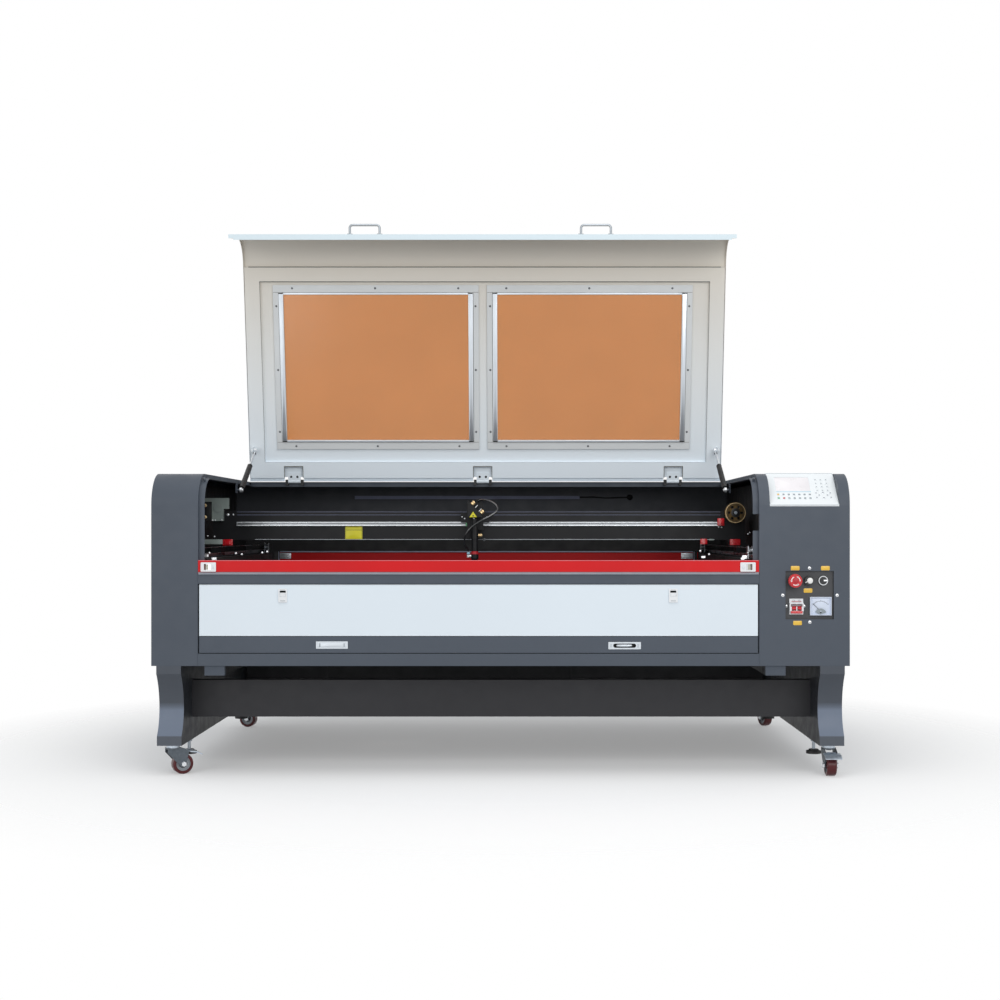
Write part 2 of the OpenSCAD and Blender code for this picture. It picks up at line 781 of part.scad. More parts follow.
// a strip that follows the lid's outline between two insets
module lid_strip(x, a, b) {
    across(x) difference() {
        lid_outline(a, lid_low, -lid_back);
        lid_outline(b, lid_low - e, -lid_back + e);
    }
}

// the two windows' limits across the lid, and their limits along it
function window_x(i) = let (x = window_mid + window_rib / 2 - (i == 0 ? window_rib + window_w : 0))
    [x, x + window_w];
function window_y() = [-window_s - window_l, -window_s];

module lid_shell() color(WHITE) lid_frame() {
    under = -lid_drop - lid_t;
    pan = [under - pan_d, under - pan_d + lid_t];
    pan_x = [lid_l + lid_t + 1.5, lid_r - lid_t - 1.5];
    pan_y = [-crease_s, -lid_back - 12];
    fold_x = [open_l + ledge_w + 2, open_r - ledge_w - 2];
    hinge_cut = [knuckle_r + 9, 56];
    field_x = [lid_l + 55, lid_r - 55];
    field_y = [-crease_s + 50, -71];
    difference() {
        union() {
            lid_strip([lid_l, lid_r], 0, lid_t);
            for (x = [lid_l, lid_r - lid_t]) lid_strip([x, x + lid_t], 0, lip_d);
            slab([lid_l, lid_r], [-hinge_y, -hinge_y + lip_d], [lid_low, lid_low + lid_t]);
            slab(fold_x, [-hinge_y, -hinge_y + fold_w], [lid_low, lid_low + lid_t]);
            slab([lid_l, lid_r], [-lid_back - lid_t, -lid_back], [-lid_drop - lip_d, -lid_drop]);
        }
        for (i = [0, 1]) slab(window_x(i), window_y(), [under - e, e]);
        // room for the fixed hinge blocks
        for (x = hinge_xs) slab([x - 34, x + 34], [-hinge_cut[0], e], [-lid_drop - lip_d - e, e]);
    }
    // hollow frame round the inside: sheet, four inner walls and the crease wall
    difference() {
        slab(pan_x, pan_y, pan);
        slab(field_x, field_y, [pan[0] - e, pan[1] + e]);
        for (x = hinge_xs) slab([x - 33, x + 33], [-hinge_cut[1], 0], [pan[0] - e, pan[1] + e]);
    }
    for (x = [field_x[0] - lid_t, field_x[1]]) slab([x, x + lid_t], field_y, [pan[0], under]);
    for (y = [field_y[0] - lid_t, field_y[1], pan_y[0]]) {
        x = y == pan_y[0] ? pan_x : [field_x[0] - lid_t, field_x[1] + lid_t];
        slab(x, [y, y + lid_t], [pan[1], under]);
    }
    // hinge knuckles with their leaves
    for (x = hinge_xs) difference() {
        union() {
            bar_x([x - 22, 0, 0], knuckle_r, 44);
            slab([x - 22, x + 22], [-leaf_l, -2], [under - 2, under]);
            slab([x - 22, x + 22], [-knuckle_r - 3, -2], [under - 2, 0]);
        }
        bar_x([x - 22 - e, 0, 0], hinge_pin + fit, 44 + 2 * e);
    }
    // brackets with the upper ball studs of the gas struts
    for (s = [-1, 1]) {
        edge = s < 0 ? open_l : open_r;
        x = edge - s * 20;
        slab([x - 1.5, x + 1.5], [-strut_top_s - 10, -strut_top_s + 10], [-strut_top_z - 10, pan[0]]);
        stud = strut_eye_in - 20 - 1.5 - gap;
        bar_x([s < 0 ? x + 1.5 : x - 1.5 - stud, -strut_top_s, -strut_top_z], strut_pin, stud);
    }
}

module lid_windows() color(AMBER) lid_frame() {
    under = -lid_drop - lid_t;
    for (i = [0, 1]) {
        x = window_x(i);
        y = window_y();
        slab([x[0] - 20, x[1] + 20], [y[0] - 20, y[1] + 20], [under - window_t, under]);
    }
}

// one trim frame with an upstand round its inner edge
module window_trims() color(SILVER) lid_frame() {
    z = -lid_drop - lid_t - window_t;
    for (i = [0, 1]) {
        x = window_x(i);
        y = window_y();
        difference() {
            union() {
                slab([x[0] - trim_w, x[1] + trim_w], [y[0] - trim_w + 3, y[1] + trim_w - 3], [z - trim_t, z]);
                slab([x[0] - 2, x[1] + 2], [y[0] - 2, y[1] + 2], [z - trim_t - 4, z - trim_t]);
            }
            slab(x, y, [z - trim_t - 4 - e, z + e]);
        }
    }
}

// bar handles: two feet, two posts, rounded corners and the grip
module lid_handles() color(SILVER) lid_frame() {
    r = grip_rod / 2;
    bend = 10;
    z = lid_low + grip_up;
    for (x = grip_xs) translate([x, -hinge_y, z]) {
        for (s = [-1, 1]) {
            bar_y([s * grip_l / 2, -3, 0], 9, 3);
            bar_y([s * grip_l / 2, -grip_h + bend + r, 0], r, grip_h - bend - r - 3);
            translate([s * (grip_l / 2 - bend), -grip_h + bend + r, 0]) mirror([s < 0 ? 1 : 0, 0, 0])
                rotate([0, 0, -90]) rotate_extrude(angle = 90) translate([bend, 0]) circle(r = r);
        }
        bar_x([-grip_l / 2 + bend, -grip_h + r, 0], r, grip_l - 2 * bend);
    }
}

// fixed hinge blocks and pins on the lip behind the lid
module lid_hinge_pins() color(SILVER) in_frame() {
    y = hinge_y;
    for (x = hinge_xs) {
        bar_x([x - hinge_half, y, lid_axis_z], hinge_pin, 2 * hinge_half);
        for (s = [-hinge_half, hinge_half - hinge_ear + 2 * gap]) {
            slab([x + s, x + s + hinge_ear - 2 * gap], [y - 5, y + 12], [lid_axis_z - 14, lid_axis_z + 6]);
        }
    }
}

// angle of a strut above the horizontal when the lid stands open
function strut_top_open() = [
    -strut_top_s * cos(lid_open) - strut_top_z * sin(lid_open) + strut_foot_y,
    strut_top_s * sin(lid_open) - strut_top_z * cos(lid_open) + strut_foot_z
];
function strut_angle() = atan2(strut_top_open()[1], strut_top_open()[0]);
function strut_length() = norm(strut_top_open());

// a strut's own frame: origin at its lower pivot, Y along the strut
module strut_frame(side) {
    x = side < 0 ? open_l + strut_eye_in + 4 : open_r - strut_eye_in - 4;
    translate([x, front_y + hinge_y - strut_foot_y, lid_axis_z - strut_foot_z])
        rotate([strut_angle(), 0, 0]) children();
}

module strut_cylinder(side) color(DARK) strut_frame(side) {
    difference() {
        union() {
            bar_x([-4, 0, 0], 8, 8);
            slab([-4, 4], [0, 16], [-5, 5]);
        }
        bar_x([-5, 0, 0], strut_pin + fit, 10);
    }
    difference() {
        bar_y([0, 14, 0], strut_od / 2, strut_len);
        bar_y([0, 18, 0], strut_od / 2 - 1.5, strut_len - 12);
        bar_y([0, 18, 0], strut_rod / 2 + fit, strut_len);
    }
}

module strut_rod_of(side) color(SILVER) strut_frame(side) {
    l = strut_length();
    inner = 24 + l - strut_shortest();
    difference() {
        union() {
            bar_y([0, inner, 0], strut_rod / 2, l - inner - 7);
            bar_x([-4, l, 0], 7.5, 8);
            bar_y([0, l - 26, 0], 6, 18);
        }
        bar_x([-5, l, 0], strut_pin + fit, 10);
    }
}
// length of a strut when the lid is closed
function strut_shortest() = norm([strut_foot_y - strut_top_s, strut_foot_z - strut_top_z]);

module strut_cylinder_left() strut_cylinder(-1);
module strut_cylinder_right() strut_cylinder(1);
module strut_rod_left() strut_rod_of(-1);
module strut_rod_right() strut_rod_of(1);

// ---- flap, door and drawer ----

// knuckles that turn on a rod along X, with a leaf that joins them to their panel
module knuckles(xs, length, axis, outer, bore, leaf_y, leaf_z) {
    for (x = xs) difference() {
        union() {
            bar_x([x, axis[0], axis[1]], outer, length);
            slab([x, x + length], leaf_y, leaf_z);
        }
        bar_x([x - e, axis[0], axis[1]], bore, length + 2 * e);
    }
}

// fixed frame of a slide latch: a plate with a square recess
module latch_plate(x, z, window_x, window_z) {
    difference() {
        slab(x, [-latch_t, 0], z);
        slab(window_x, [-latch_t - e, e], window_z);
    }
}

module feed_flap() color(RED) in_frame() {
    x = [open_l + gap, open_r - gap];
    difference() {
        union() {
            slab(x, [0, door_t], [flap_z + gap, flap_top]);
            slab(x, [door_t, 12], [flap_top - door_t, flap_top]);
        }
        for (s = [-1, 1]) slab(flap_thumb_x(s), [-e, door_t + e], flap_latch_z);
    }
    for (s = [-1, 1]) latch_plate(flap_plate_x(s), [flap_z + 5, flap_z + 33], flap_thumb_x(s), flap_latch_z);
    k = moving_knuckle(1);
    knuckles([for (i = [0:flap_knuckles - 1]) moving_knuckle(i)[0]], k[1] - k[0], flap_axis,
        flap_knuckle_r, flap_rod + fit, [-1, door_t], [flap_axis[1] + 0.5, flap_z + 1]);
}

// limits of a flap latch plate, and of the recess that its thumb piece slides in
function flap_plate_x(s) = s < 0 ? [open_l + 9, open_l + 55] : [open_r - 57, open_r - 11];
function flap_thumb_x(s) = let (p = flap_plate_x(s)) s < 0 ? [p[0] + 10, p[0] + 29] : [p[0] + 17, p[0] + 36];

// thumb piece of a flap latch, which slides towards the side of the machine
module flap_latch(s) color(SILVER) in_frame() {
    x = flap_thumb_x(s);
    a = s < 0 ? [x[0] + latch_slide, x[1] - gap] : [x[0] + gap, x[1] - latch_slide];
    slab(a, [-latch_t + 1, door_t + 2], [flap_latch_z[0] + gap, flap_latch_z[1] - gap]);
    b = s < 0 ? [x[0] + latch_slide, x[1] + latch_slide] : [x[0] - latch_slide, x[1] - latch_slide];
    slab(b, [door_t + gap, door_t + 3], [flap_latch_z[0] - 2, flap_latch_z[1] + 2]);
}
module flap_latch_left() flap_latch(-1);
module flap_latch_right() flap_latch(1);

module front_door() color(WHITE) in_frame() {
    x = [open_l + panel_gap, open_r - panel_gap];
    difference() {
        slab(x, [0, door_t], [door_z, door_z + door_h]);
        for (c = door_latch_xs) slab([c - 9, c + 9], [-e, door_t + e], door_latch_z);
    }
    for (c = door_latch_xs) {
        latch_plate([c - 13, c + 13], [door_z + 101, door_z + 142], [c - 9, c + 9], door_latch_z);
    }
    knuckles([for (i = [0:3]) open_l + 100 + i * (open_r - open_l - 260) / 3], 60, door_axis, 4,
        hinge_rod + fit, [door_t - 0.5, door_t + 3], [door_z + 1, door_z + 14]);
}

// thumb piece of a door latch, which slides up
module door_latch(c) color(SILVER) in_frame() {
    z = door_latch_z;
    slab([c - 9 + gap, c + 9 - gap], [-latch_t + 1, door_t + 2], [z[0] + gap, z[1] - latch_slide]);
    slab([c - 11, c + 11], [door_t + gap, door_t + 3], [z[0] - latch_slide, z[1] - latch_slide]);
}
module door_latch_left() door_latch(door_latch_xs[0]);
module door_latch_right() door_latch(door_latch_xs[1]);

// waste drawer: front, recessed pulls and an open box
module waste_drawer() color(GREY) in_frame() {
    x = [open_l + panel_gap, open_r - panel_gap];
    inner = [x[0] + 2, x[1] - 2];
    floor_z = drawer_z + gap;
    difference() {
        union() {
            slab(x, [0, door_t], [floor_z, drawer_z + drawer_h]);
            slab(inner, [door_t, drawer_d], [floor_z, shelf_z - 4]);
        }
        slab([inner[0] + door_t, inner[1] - door_t], [2 * door_t + pull_d, drawer_d - door_t],
            [floor_z + door_t, shelf_z]);
        for (p = pull_xs) slab([p, p + pull_w], [-e, door_t + pull_d], [drawer_z + 13, drawer_z + 34]);
        // hollow between the pulls
        for (h = [[inner[0] + door_t, pull_xs[0] - 2], [pull_xs[0] + pull_w + 2, pull_xs[1] - 2],
            [pull_xs[1] + pull_w + 2, inner[1] - door_t]])
            slab(h, [2 * door_t, 3 * door_t + pull_d], [floor_z + door_t, shelf_z]);
    }
}

// ---- guides, gantry and laser head ----

// guide rails, toothed belts and their pulley blocks on both ledges
module y_guides() color(SILVER) in_frame() {
    y = [60, table_y[1] + 50];
    for (s = [-1, 1]) {
        g = guide_x(s);
        slab([g[0], g[1]], y, [guide_z, guide_z + 12]);
        b = belt_x(s);
        for (yy = [y[0], y[1] - 30]) {
            slab([b - 9, b - 6], [yy, yy + 30], [guide_z, guide_z + 38]);
            slab([b + 6, b + 9], [yy, yy + 30], [guide_z, guide_z + 38]);
            bar_x([b - 6, yy + 15, guide_z + 22], 9, 12);
        }
        for (h = [9 + gap, -10.5 - gap]) {
            slab([b - 5, b + 5], [y[0] + 15, y[1] - 15], [guide_z + 22 + h, guide_z + 22 + h + 1.5]);
        }
    }
}

// guide rail limits and belt centre on the left (-1) and the right (1) ledge
function guide_x(s) = s < 0 ? [table_l - 72, table_l - 57] : [table_r + 45, table_r + 60];
function belt_x(s) = s < 0 ? table_l - 32 : table_r + 20;

// beam with its end plates, runners, belt clamps and the drive motor
module gantry_beam() color(BLACK) in_frame() {
    x = beam_x;
    y = [beam_y, beam_y + beam_dp];
    z = [beam_z, beam_z + beam_h];
    difference() {
        slab(x, y, z);
        slab([x[0] - e, x[1] + e], [y[0] + 4, y[1] - 4], [z[0] + 4, z[1] - 4]);
    }
    for (s = [-1, 1]) {
        g = guide_x(s);
        b = belt_x(s);
        foot = s < 0 ? [g[0] - 6, b + 12] : [b - 12, g[1] + 6];
        // foot plate, runner over the guide rail and belt clamp
        slab(foot, y, [z[0] - 8, z[0]]);
        difference() {
            slab([g[0] - 8, g[1] + 8], y, [guide_z + 6, z[0] - 8]);
            slab([g[0] - gap, g[1] + gap], [y[0] - e, y[1] + e], [guide_z, guide_z + 12 + gap]);
        }
        slab([b - 8, b + 8], [y[0] + 12, y[1] - 12], [guide_z + 34, z[0] - 8]);
    }
    // motor behind the right end, and the pin of the large pulley
    slab([x[1] - 64, x[1] - 7], [y[1], y[1] + 56], [z[0] + 34, z[0] + 91]);
    bar_y([pulley_x, beam_y - 34, pulley_z], 5, 34);
    bar_y([pulley_x, beam_y - 37, pulley_z], 9, 3);
}

// linear rail and the two lines of its bolts
module beam_rail() color(SILVER) in_frame() {
    x = [table_l + 4, pulley_x - pulley_d / 2 - 12];
    difference() {
        slab(x, [beam_y - 8, beam_y], rail_z);
        slab([x[0] - e, x[1] + e], [beam_y - 9, beam_y - 6], [rail_z[0] + 5, rail_z[1] - 5]);
    }
}

// second mirror: bracket on the beam's end, adjusting plates, knobs and the mirror
module second_mirror() color(SILVER) in_frame() {
    x = mirror_x;
    z = [beam_z + 63, beam_z + 139];
    // bracket on the beam's face, with the carrier of the two knobs
    slab([x + 25, x + 62], [beam_y - 12, beam_y], [z[0], z[1] - 8]);
    slab([x, x + 26], [beam_y - 12, beam_y - 7], [z[0] + 2, z[1] - 8]);
    // plate with a wide head, its left and lower right corners open
    slab([x + 25, x + 62], [beam_y - 17, beam_y - 12], z);
    slab([x, x + 82], [beam_y - 17, beam_y - 12], [z[1] - 12, z[1]]);
    slab([x + 62 - e, x + 82], [beam_y - 17, beam_y - 12], [z[1] - 36, z[1]]);
    for (up = [12.5, 51]) {
        bar_y([x + 6, beam_y - 30, z[0] + up], 3, 18);
        bar_y([x + 6, beam_y - 38, z[0] + up], 5.5, 9);
    }
    bar_y([x + 46, beam_y - 20, z[0] + 42], 13, 4);
}

// large timing pulley with two flanges, turning on the beam's pin
module x_pulley() color(BRASS) in_frame() {
    translate([pulley_x, beam_y - 12, pulley_z]) rotate([90, 0, 0]) difference() {
        union() {
            cylinder(r = pulley_d / 2, h = 2);
            cylinder(r = pulley_d / 2 - 3, h = 18);
            translate([0, 0, 16]) cylinder(r = pulley_d / 2, h = 2);
            cylinder(r = 12, h = 21);
        }
        translate([0, 0, -e]) cylinder(r = 5 + fit, h = 24);
        for (a = [0:60:300]) rotate(a) translate([pulley_d / 2 - 13, 0, -e]) cylinder(r = 5, h = 21);
    }
}

// carriage: rail block, back plate, mirror block with two adjusting knobs, and the tube clamp
module carriage() color(DARK) in_frame() {
    x = head_x;
    half = 27;
    // block that wraps the rail
    difference() {
        slab([x - half, x + half], [plate_y[1], beam_y - 1], [rail_z[0] - 12, rail_z[1] + 12]);
        slab([x - half - e, x + half + e], [beam_y - 8 - gap, beam_y], [rail_z[0] - gap, rail_z[1] + gap]);
    }
    // back plate with two ears, and the tab that the air hose starts from
    slab([x - half, x + half], plate_y, [beam_z + 33, block_z + 46]);
    slab([x - half - 20, x + half + 20], plate_y, [beam_z + 57, beam_z + 89]);
    slab([x + 4, x + 20], plate_y, [block_z + 45, block_z + 62]);
    // arm to the mirror block, which is cut off at 45 degrees
    slab([x - 20, x + 6], [lens_y + 24, plate_y[0] + 1], [block_z, block_z + 22]);
    difference() {
        translate([x, lens_y + 25, block_z]) rotate([90, 0, 0]) linear_extrude(50)
            polygon([[-23, 0], [23, 0], [23, 8], [-23, 54]]);
        bar_z([x, lens_y, block_z - e], lens_d / 2 - 4, 60);
    }
    // knobs on the slope
    for (p = [[-10, 41], [19.5, 11.5]]) {
        translate([x + p[0], lens_y - 12, block_z + p[1]]) rotate([0, 45, 0]) {
            bar_z([0, 0, -e], 2.5, 16);
            bar_z([0, 0, 2], 6, 5.5);
            bar_z([0, 0, 8.5], 6, 5.5);
        }
    }
    // clamp ring that the lens tube slides in, its strap and its thumb screw
    difference() {
        bar_z([x, lens_y, clamp_z[0]], lens_d / 2 + 3, clamp_z[1] - clamp_z[0]);
        bar_z([x, lens_y, clamp_z[0] - e], lens_d / 2 + fit, clamp_z[1] - clamp_z[0] + 2 * e);
    }
    strap = lens_y + lens_d / 2 + 1;
    slab([x - 9, x + 9], [strap, strap + 6], [clamp_z[0], block_z + 6]);
    bar_x([x + 9, lens_y - 9, beam_z + 15], 2.5, 5);
    bar_x([x + 12, lens_y - 9, beam_z + 15], 6, 9);
}

// lens tube with its ring, its round nozzle and the elbow of the air inlet
module lens_tube() color(SILVER) in_frame() {
    x = head_x;
    z = nozzle_z;
    r = lens_d / 2;
    nose = r + 2;
    round_r = 8;
    difference() {
        union() {
            bar_z([x, lens_y, z + 30], r, tube_top - z - 30);
            bar_z([x, lens_y, z + 20], r - 1.5, 10);
            translate([x, lens_y, z]) rotate_extrude() {
                square([nose - round_r, 20]);
                translate([0, round_r]) square([nose, 20 - round_r]);
                intersection() {
                    translate([nose - round_r, round_r]) circle(r = round_r);
                    square([nose, round_r]);
                }
            }
            bar_x([x - inlet_out, lens_y, z + 14], 3, inlet_out - r);
            bar_z([x - inlet_out, lens_y, z + 10], 4, 18);
        }
        bar_z([x, lens_y, z - e], 1.2, tube_top - z + 2 * e);
        bar_z([x, lens_y, z + 28], r - 3, tube_top - z);
    }
}

// a smooth curve through the hose's own points, and a round tube along it
function spline(p, n) = [
    for (i = [0:len(p) - 2]) for (k = [0:n - 1])
    let (t = k / n, a = p[max(i - 1, 0)], b = p[i], c = p[i + 1], d = p[min(i + 2, len(p) - 1)])
    0.5 * ((2 * b) + (c - a) * t + (2 * a - 5 * b + 4 * c - d) * t * t + (3 * b - a - 3 * c + d) * t * t * t),
    p[len(p) - 1]
];
function unit(v) = v / norm(v);
module tube_along(p, r, sides) {
    n = len(p);
    t = [for (i = [0:n - 1]) unit(p[min(i + 1, n - 1)] - p[max(i - 1, 0)])];
    rings = [for (i = [0:n - 1]) let (u = unit(cross(t[i], [0.2, 1, 0.1])), v = cross(t[i], u))
        for (k = [0:sides - 1]) p[i] + r * (cos(k * 360 / sides) * u + sin(k * 360 / sides) * v)];
    polyhedron(rings, concat(
        [[for (k = [0:sides - 1]) k]],
        [for (i = [0:n - 2]) for (k = [0:sides - 1]) let (a = i * sides + k, b = i * sides + (k + 1) % sides)
            [a, a + sides, b + sides, b]],
        [[for (k = [sides - 1:-1:0]) (n - 1) * sides + k]]
    ));
}

// air hose from the block's side round to the nozzle's inlet
module air_hose() color(BLACK) in_frame() {
    translate([head_x, lens_y, beam_z]) tube_along(spline(HOSE, 4), 3, 10);
}

// ---- controls, electrics and tube ----

module laser_tube() color(SILVER) in_frame() {
    c = [(open_l + open_r) / 2, (tube_wall_y + chamber_back) / 2 + 4, tube_floor_z + tube_d / 2 + 8];
    r = tube_d / 2;
    difference() {
        bar_x([c[0] - tube_len / 2, c[1], c[2]], r, tube_len);
        bar_x([c[0] - tube_len / 2 + 40, c[1], c[2]], r - 2.5, tube_len - 80);
    }
    bar_x([c[0] - tube_len / 2 - 30, c[1], c[2]], r * 0.55, 30);
    // two cradles under it
    for (s = [-1, 1]) difference() {
        x = c[0] + s * tube_len * 0.3;
        slab([x - 15, x + 15], [c[1] - r - 6, c[1] + r + 6], [tube_floor_z, c[2] - 10]);
        bar_x([x - 16, c[1], c[2]], r, 32);
    }
}

module light_bar() color(SILVER) in_frame() {
    difference() {
        slab(light_x, [tube_wall_y - 20, tube_wall_y], light_z);
        slab([light_x[0] + 2, light_x[1] - 2], [tube_wall_y - 21, tube_wall_y - 10],
            [light_z[0] + 3, light_z[1] - 3]);
    }
}

// recessed plate behind the front skin, with the collars of its switches
module control_plate() color(DARK) in_frame() {
    x = [recess_x, recess_x + recess_w];
    z = [recess_z, recess_z + recess_w];
    difference() {
        slab([x[0] - 8, x[1] + 8], [skin_t, recess_d + 2], [z[0] - 8, z[1] + 8]);
        slab(x, [skin_t - e, recess_d], z);
        bar_y([estop_at[0], 0, estop_at[1]], 8 + fit, 20);
        bar_y([knob_at[0], 0, knob_at[1]], 3 + fit, 20);
        bar_y([key_at[0], 0, key_at[1]], 8 + fit, 20);
        slab(breaker_x, [0, 20], breaker_z);
        slab([meter_x[0] + 4, meter_x[1] - 4], [0, 20], [meter_z[0] + 4, meter_z[1] - 4]);
    }
    difference() {
        bar_y([estop_at[0], recess_d - 10, estop_at[1]], 14, 10);
        bar_y([estop_at[0], recess_d - 11, estop_at[1]], 8 + fit, 12);
    }
    difference() {
        bar_y([key_at[0], recess_d - 5, key_at[1]], key_d / 2, 5);
        bar_y([key_at[0], recess_d - 6, key_at[1]], 8 + fit, 7);
    }
}

module estop_button() color(RED) in_frame() {
    y = recess_d - estop_h;
    bar_y([estop_at[0], y, estop_at[1]], estop_d / 2 - 3, 3);
    bar_y([estop_at[0], y + 3, estop_at[1]], estop_d / 2, 10);
    bar_y([estop_at[0], y + 13, estop_at[1]], 8, estop_h + 4);
}

module current_knob() color(BLACK) in_frame() {
    y = recess_d - 15;
    difference() {
        bar_y([knob_at[0], y, knob_at[1]], knob_d / 2, 14);
        slab([knob_at[0] - 1, knob_at[0] + 1], [y - e, y + 1], [knob_at[1], knob_at[1] + knob_d]);
    }
    bar_y([knob_at[0], y + 14, knob_at[1]], 3, 14);
}

module key_barrel() color(BLACK) in_frame() {
    y = recess_d - 9;
    difference() {
        bar_y([key_at[0], y, key_at[1]], 8, 24);
        slab([key_at[0] - 1, key_at[0] + 6], [y - e, y + 4], [key_at[1] - 1.2, key_at[1] + 1.2]);
    }
    bar_y([key_at[0], y, key_at[1]], 10, 3.5);
}

module breaker_body() color(WHITE) in_frame() {
    x = [breaker_x[0] + gap, breaker_x[1] - gap];
    z = [breaker_z[0] + gap, breaker_z[1] - gap];
    difference() {
        union() {
            slab(x, [recess_d - 4, recess_d + 50], z);
            slab(x, [recess_d - 12, recess_d - 4], [z[0] + 10, z[1] - 12]);
        }
        slab([x[0] + 3, x[1] - 3], [recess_d - 13, recess_d + 8], toggle_slot);
    }
    // pivot pin of the toggles
    bar_x([x[0] + 2, toggle_axis[0], toggle_axis[1]], 1.5, x[1] - x[0] - 4);
}

module breaker_toggle() color(RED) in_frame() {
    x = [breaker_x[0] + 4, breaker_x[1] - 4];
    lever_w = (x[1] - x[0]) / 2 - 7;
    y = toggle_axis[0];
    z = toggle_axis[1];
    difference() {
        union() {
            bar_x([x[0], y, z], 5, x[1] - x[0]);
            for (s = [x[0] + 3, x[1] - 3 - lever_w])
                slab([s, s + lever_w], [y - 17, y - 3], [z - 4, z + 2]);
            slab([x[0] + 3, x[1] - 3], [y - 13, y - 9], [z - 3, z + 1]);
        }
        bar_x([x[0] - e, y, z], 1.5 + fit, x[1] - x[0] + 2 * e);
    }
}

// panel meter: rim, dial plate and the fixed pivot of its needle
module meter_housing() color(WHITE) in_frame() {
    difference() {
        slab(meter_x, [recess_d - 9, recess_d], meter_z);
        slab([meter_x[0] + 2, meter_x[1] - 2], [recess_d - 10, recess_d - 3],
            [meter_z[0] + 2, meter_z[1] - 2]);
    }
    slab([meter_x[0] + 5, meter_x[1] - 5], [recess_d, recess_d + 30], [meter_z[0] + 5, meter_z[1] - 5]);
    bar_y([needle_at[0], recess_d - 8, needle_at[1]], 1.5, 5);
}

module meter_needle() color(BLACK) in_frame() {
    y = recess_d - 6;
    difference() {
        union() {
            bar_y([needle_at[0], y, needle_at[1]], 4, 1.5);
            translate([needle_at[0], y, needle_at[1]]) rotate([0, -45, 0]) slab([-0.6, 0.6], [0, 1], [0, 32]);
        }
        bar_y([needle_at[0], y - e, needle_at[1]], 1.5 + fit, 4);
    }
}

// keypad plate with its screen frame and raised keys
module keypad_panel() color(WHITE) in_frame() keypad_place() {
    top = keypad_proud;
    difference() {
        slab([0, keypad_w], [-2, keypad_l + 2], [top - keypad_t, top]);
        slab(screen_x, screen_y, [top - 1, top + e]);
    }
    keys([26, 24.5], [7, 2], [15.9, 16], top);
    keys([146, 58.5], [3, 4], [16, 15.5], top);
    // arrow keys between four corner keys
    keys([141, 28], [2, 2], [43, 19], top);
    keys([149.5, 38], [2, 1], [25, 1], top);
    keys([162, 26.5], [1, 2], [1, 22], top);
}

// a block of raised keys: its corner, counts and pitches
module keys(at, count, pitch, z) {
    for (c = [0:count[0] - 1]) for (r = [0:count[1] - 1]) {
        p = [at[0] + pitch[0] * c, at[1] + pitch[1] * r];
        slab([p[0], p[0] + key_w], [p[1], p[1] + key_w], [z, z + 1]);
    }
}

// high voltage supply and two motor drivers on the floor of the right housing
module electronics() color(SILVER) in_frame() {
    x = [chamber_r + skin_t + 20, chamber_r + skin_t + 20 + supply_size[0]];
    slab(x, [supply_y, supply_y + supply_size[1]], [pan_top, pan_top + supply_size[2]]);
    for (i = [0, 1]) {
        y = supply_y + supply_size[1] + 40 + i * (driver_size[1] + 30);
        slab([x[0], x[0] + driver_size[0]], [y, y + driver_size[1]], [pan_top, pan_top + driver_size[2]]);
    }
}

// exhaust collar, cooling water and air fittings, and the mains inlet
module service_fittings() color(SILVER) in_frame() {
    difference() {
        union() {
            bar_y([collar_x, body_d, collar_z], collar_d / 2, collar_l);
            bar_y([collar_x, body_d, collar_z], collar_d / 2 + 18, 2);
        }
        bar_y([collar_x, body_d - e, collar_z], collar_d / 2 - skin_t, collar_l + 2 * e);
    }
    for (x = [-760, -720, -680]) {
        bar_y([x, body_d, 560], 9, 4);
        bar_y([x, body_d + 4, 560], 5, 22);
    }
    difference() {
        slab([620, 670], [body_d, body_d + 6], [400, 430]);
        slab([630, 660], [body_d + 1, body_d + 7], [405, 425]);
    }
}

// door in the right side, with knuckles on its upright rod
module side_door() color(GREY) in_frame() {
    x = [x_right - skin_t, x_right];
    y = [side_door_y[0] + 3, side_door_y[1] - 3];
    axis = [x_right - side_hinge[0], side_door_y[1] - side_hinge[1]];
    slab(x, y, [side_door_z[0] + 3, side_door_z[1] - 3]);
    for (z = [side_door_z[0] + 30, side_door_z[1] - 90]) difference() {
        union() {
            bar_z([axis[0], axis[1], z], 4, 60);
            slab([axis[0], x_right - skin_t], [axis[1] - 14, axis[1]], [z, z + 60]);
        }
        bar_z([axis[0], axis[1], z - e], hinge_rod + fit, 60 + 2 * e);
    }
}

// ---- what is drawn ----

left_housing();
right_housing();
front_frame();
base_pan();
rear_housing();
work_chamber();
side_stands();
stretchers();
caster_plates();
levelling_feet();
slat_table();
rear_cross_bar();
y_guides();
laser_tube();
light_bar();
control_plate();
keypad_panel();
breaker_body();
meter_housing();
electronics();
service_fittings();
lid_hinge_pins();
lid_shell();
lid_windows();
window_trims();
lid_handles();
strut_cylinder_left();
strut_cylinder_right();
strut_rod_left();
strut_rod_right();
feed_flap();
flap_latch_left();
flap_latch_right();
front_door();
door_latch_left();
door_latch_right();
waste_drawer();
gantry_beam();
beam_rail();
second_mirror();
x_pulley();
carriage();
air_hose();
lens_tube();
caster_fork_fl();
caster_fork_fr();
caster_fork_rl();
caster_fork_rr();
caster_wheel_fl();
caster_wheel_fr();
caster_wheel_rl();
caster_wheel_rr();
caster_brake_fl();
caster_brake_fr();
estop_button();
current_knob();
key_barrel();
breaker_toggle();
meter_needle();
side_door();
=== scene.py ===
"""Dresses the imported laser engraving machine: finishes, small fittings, stage, lamps and camera."""

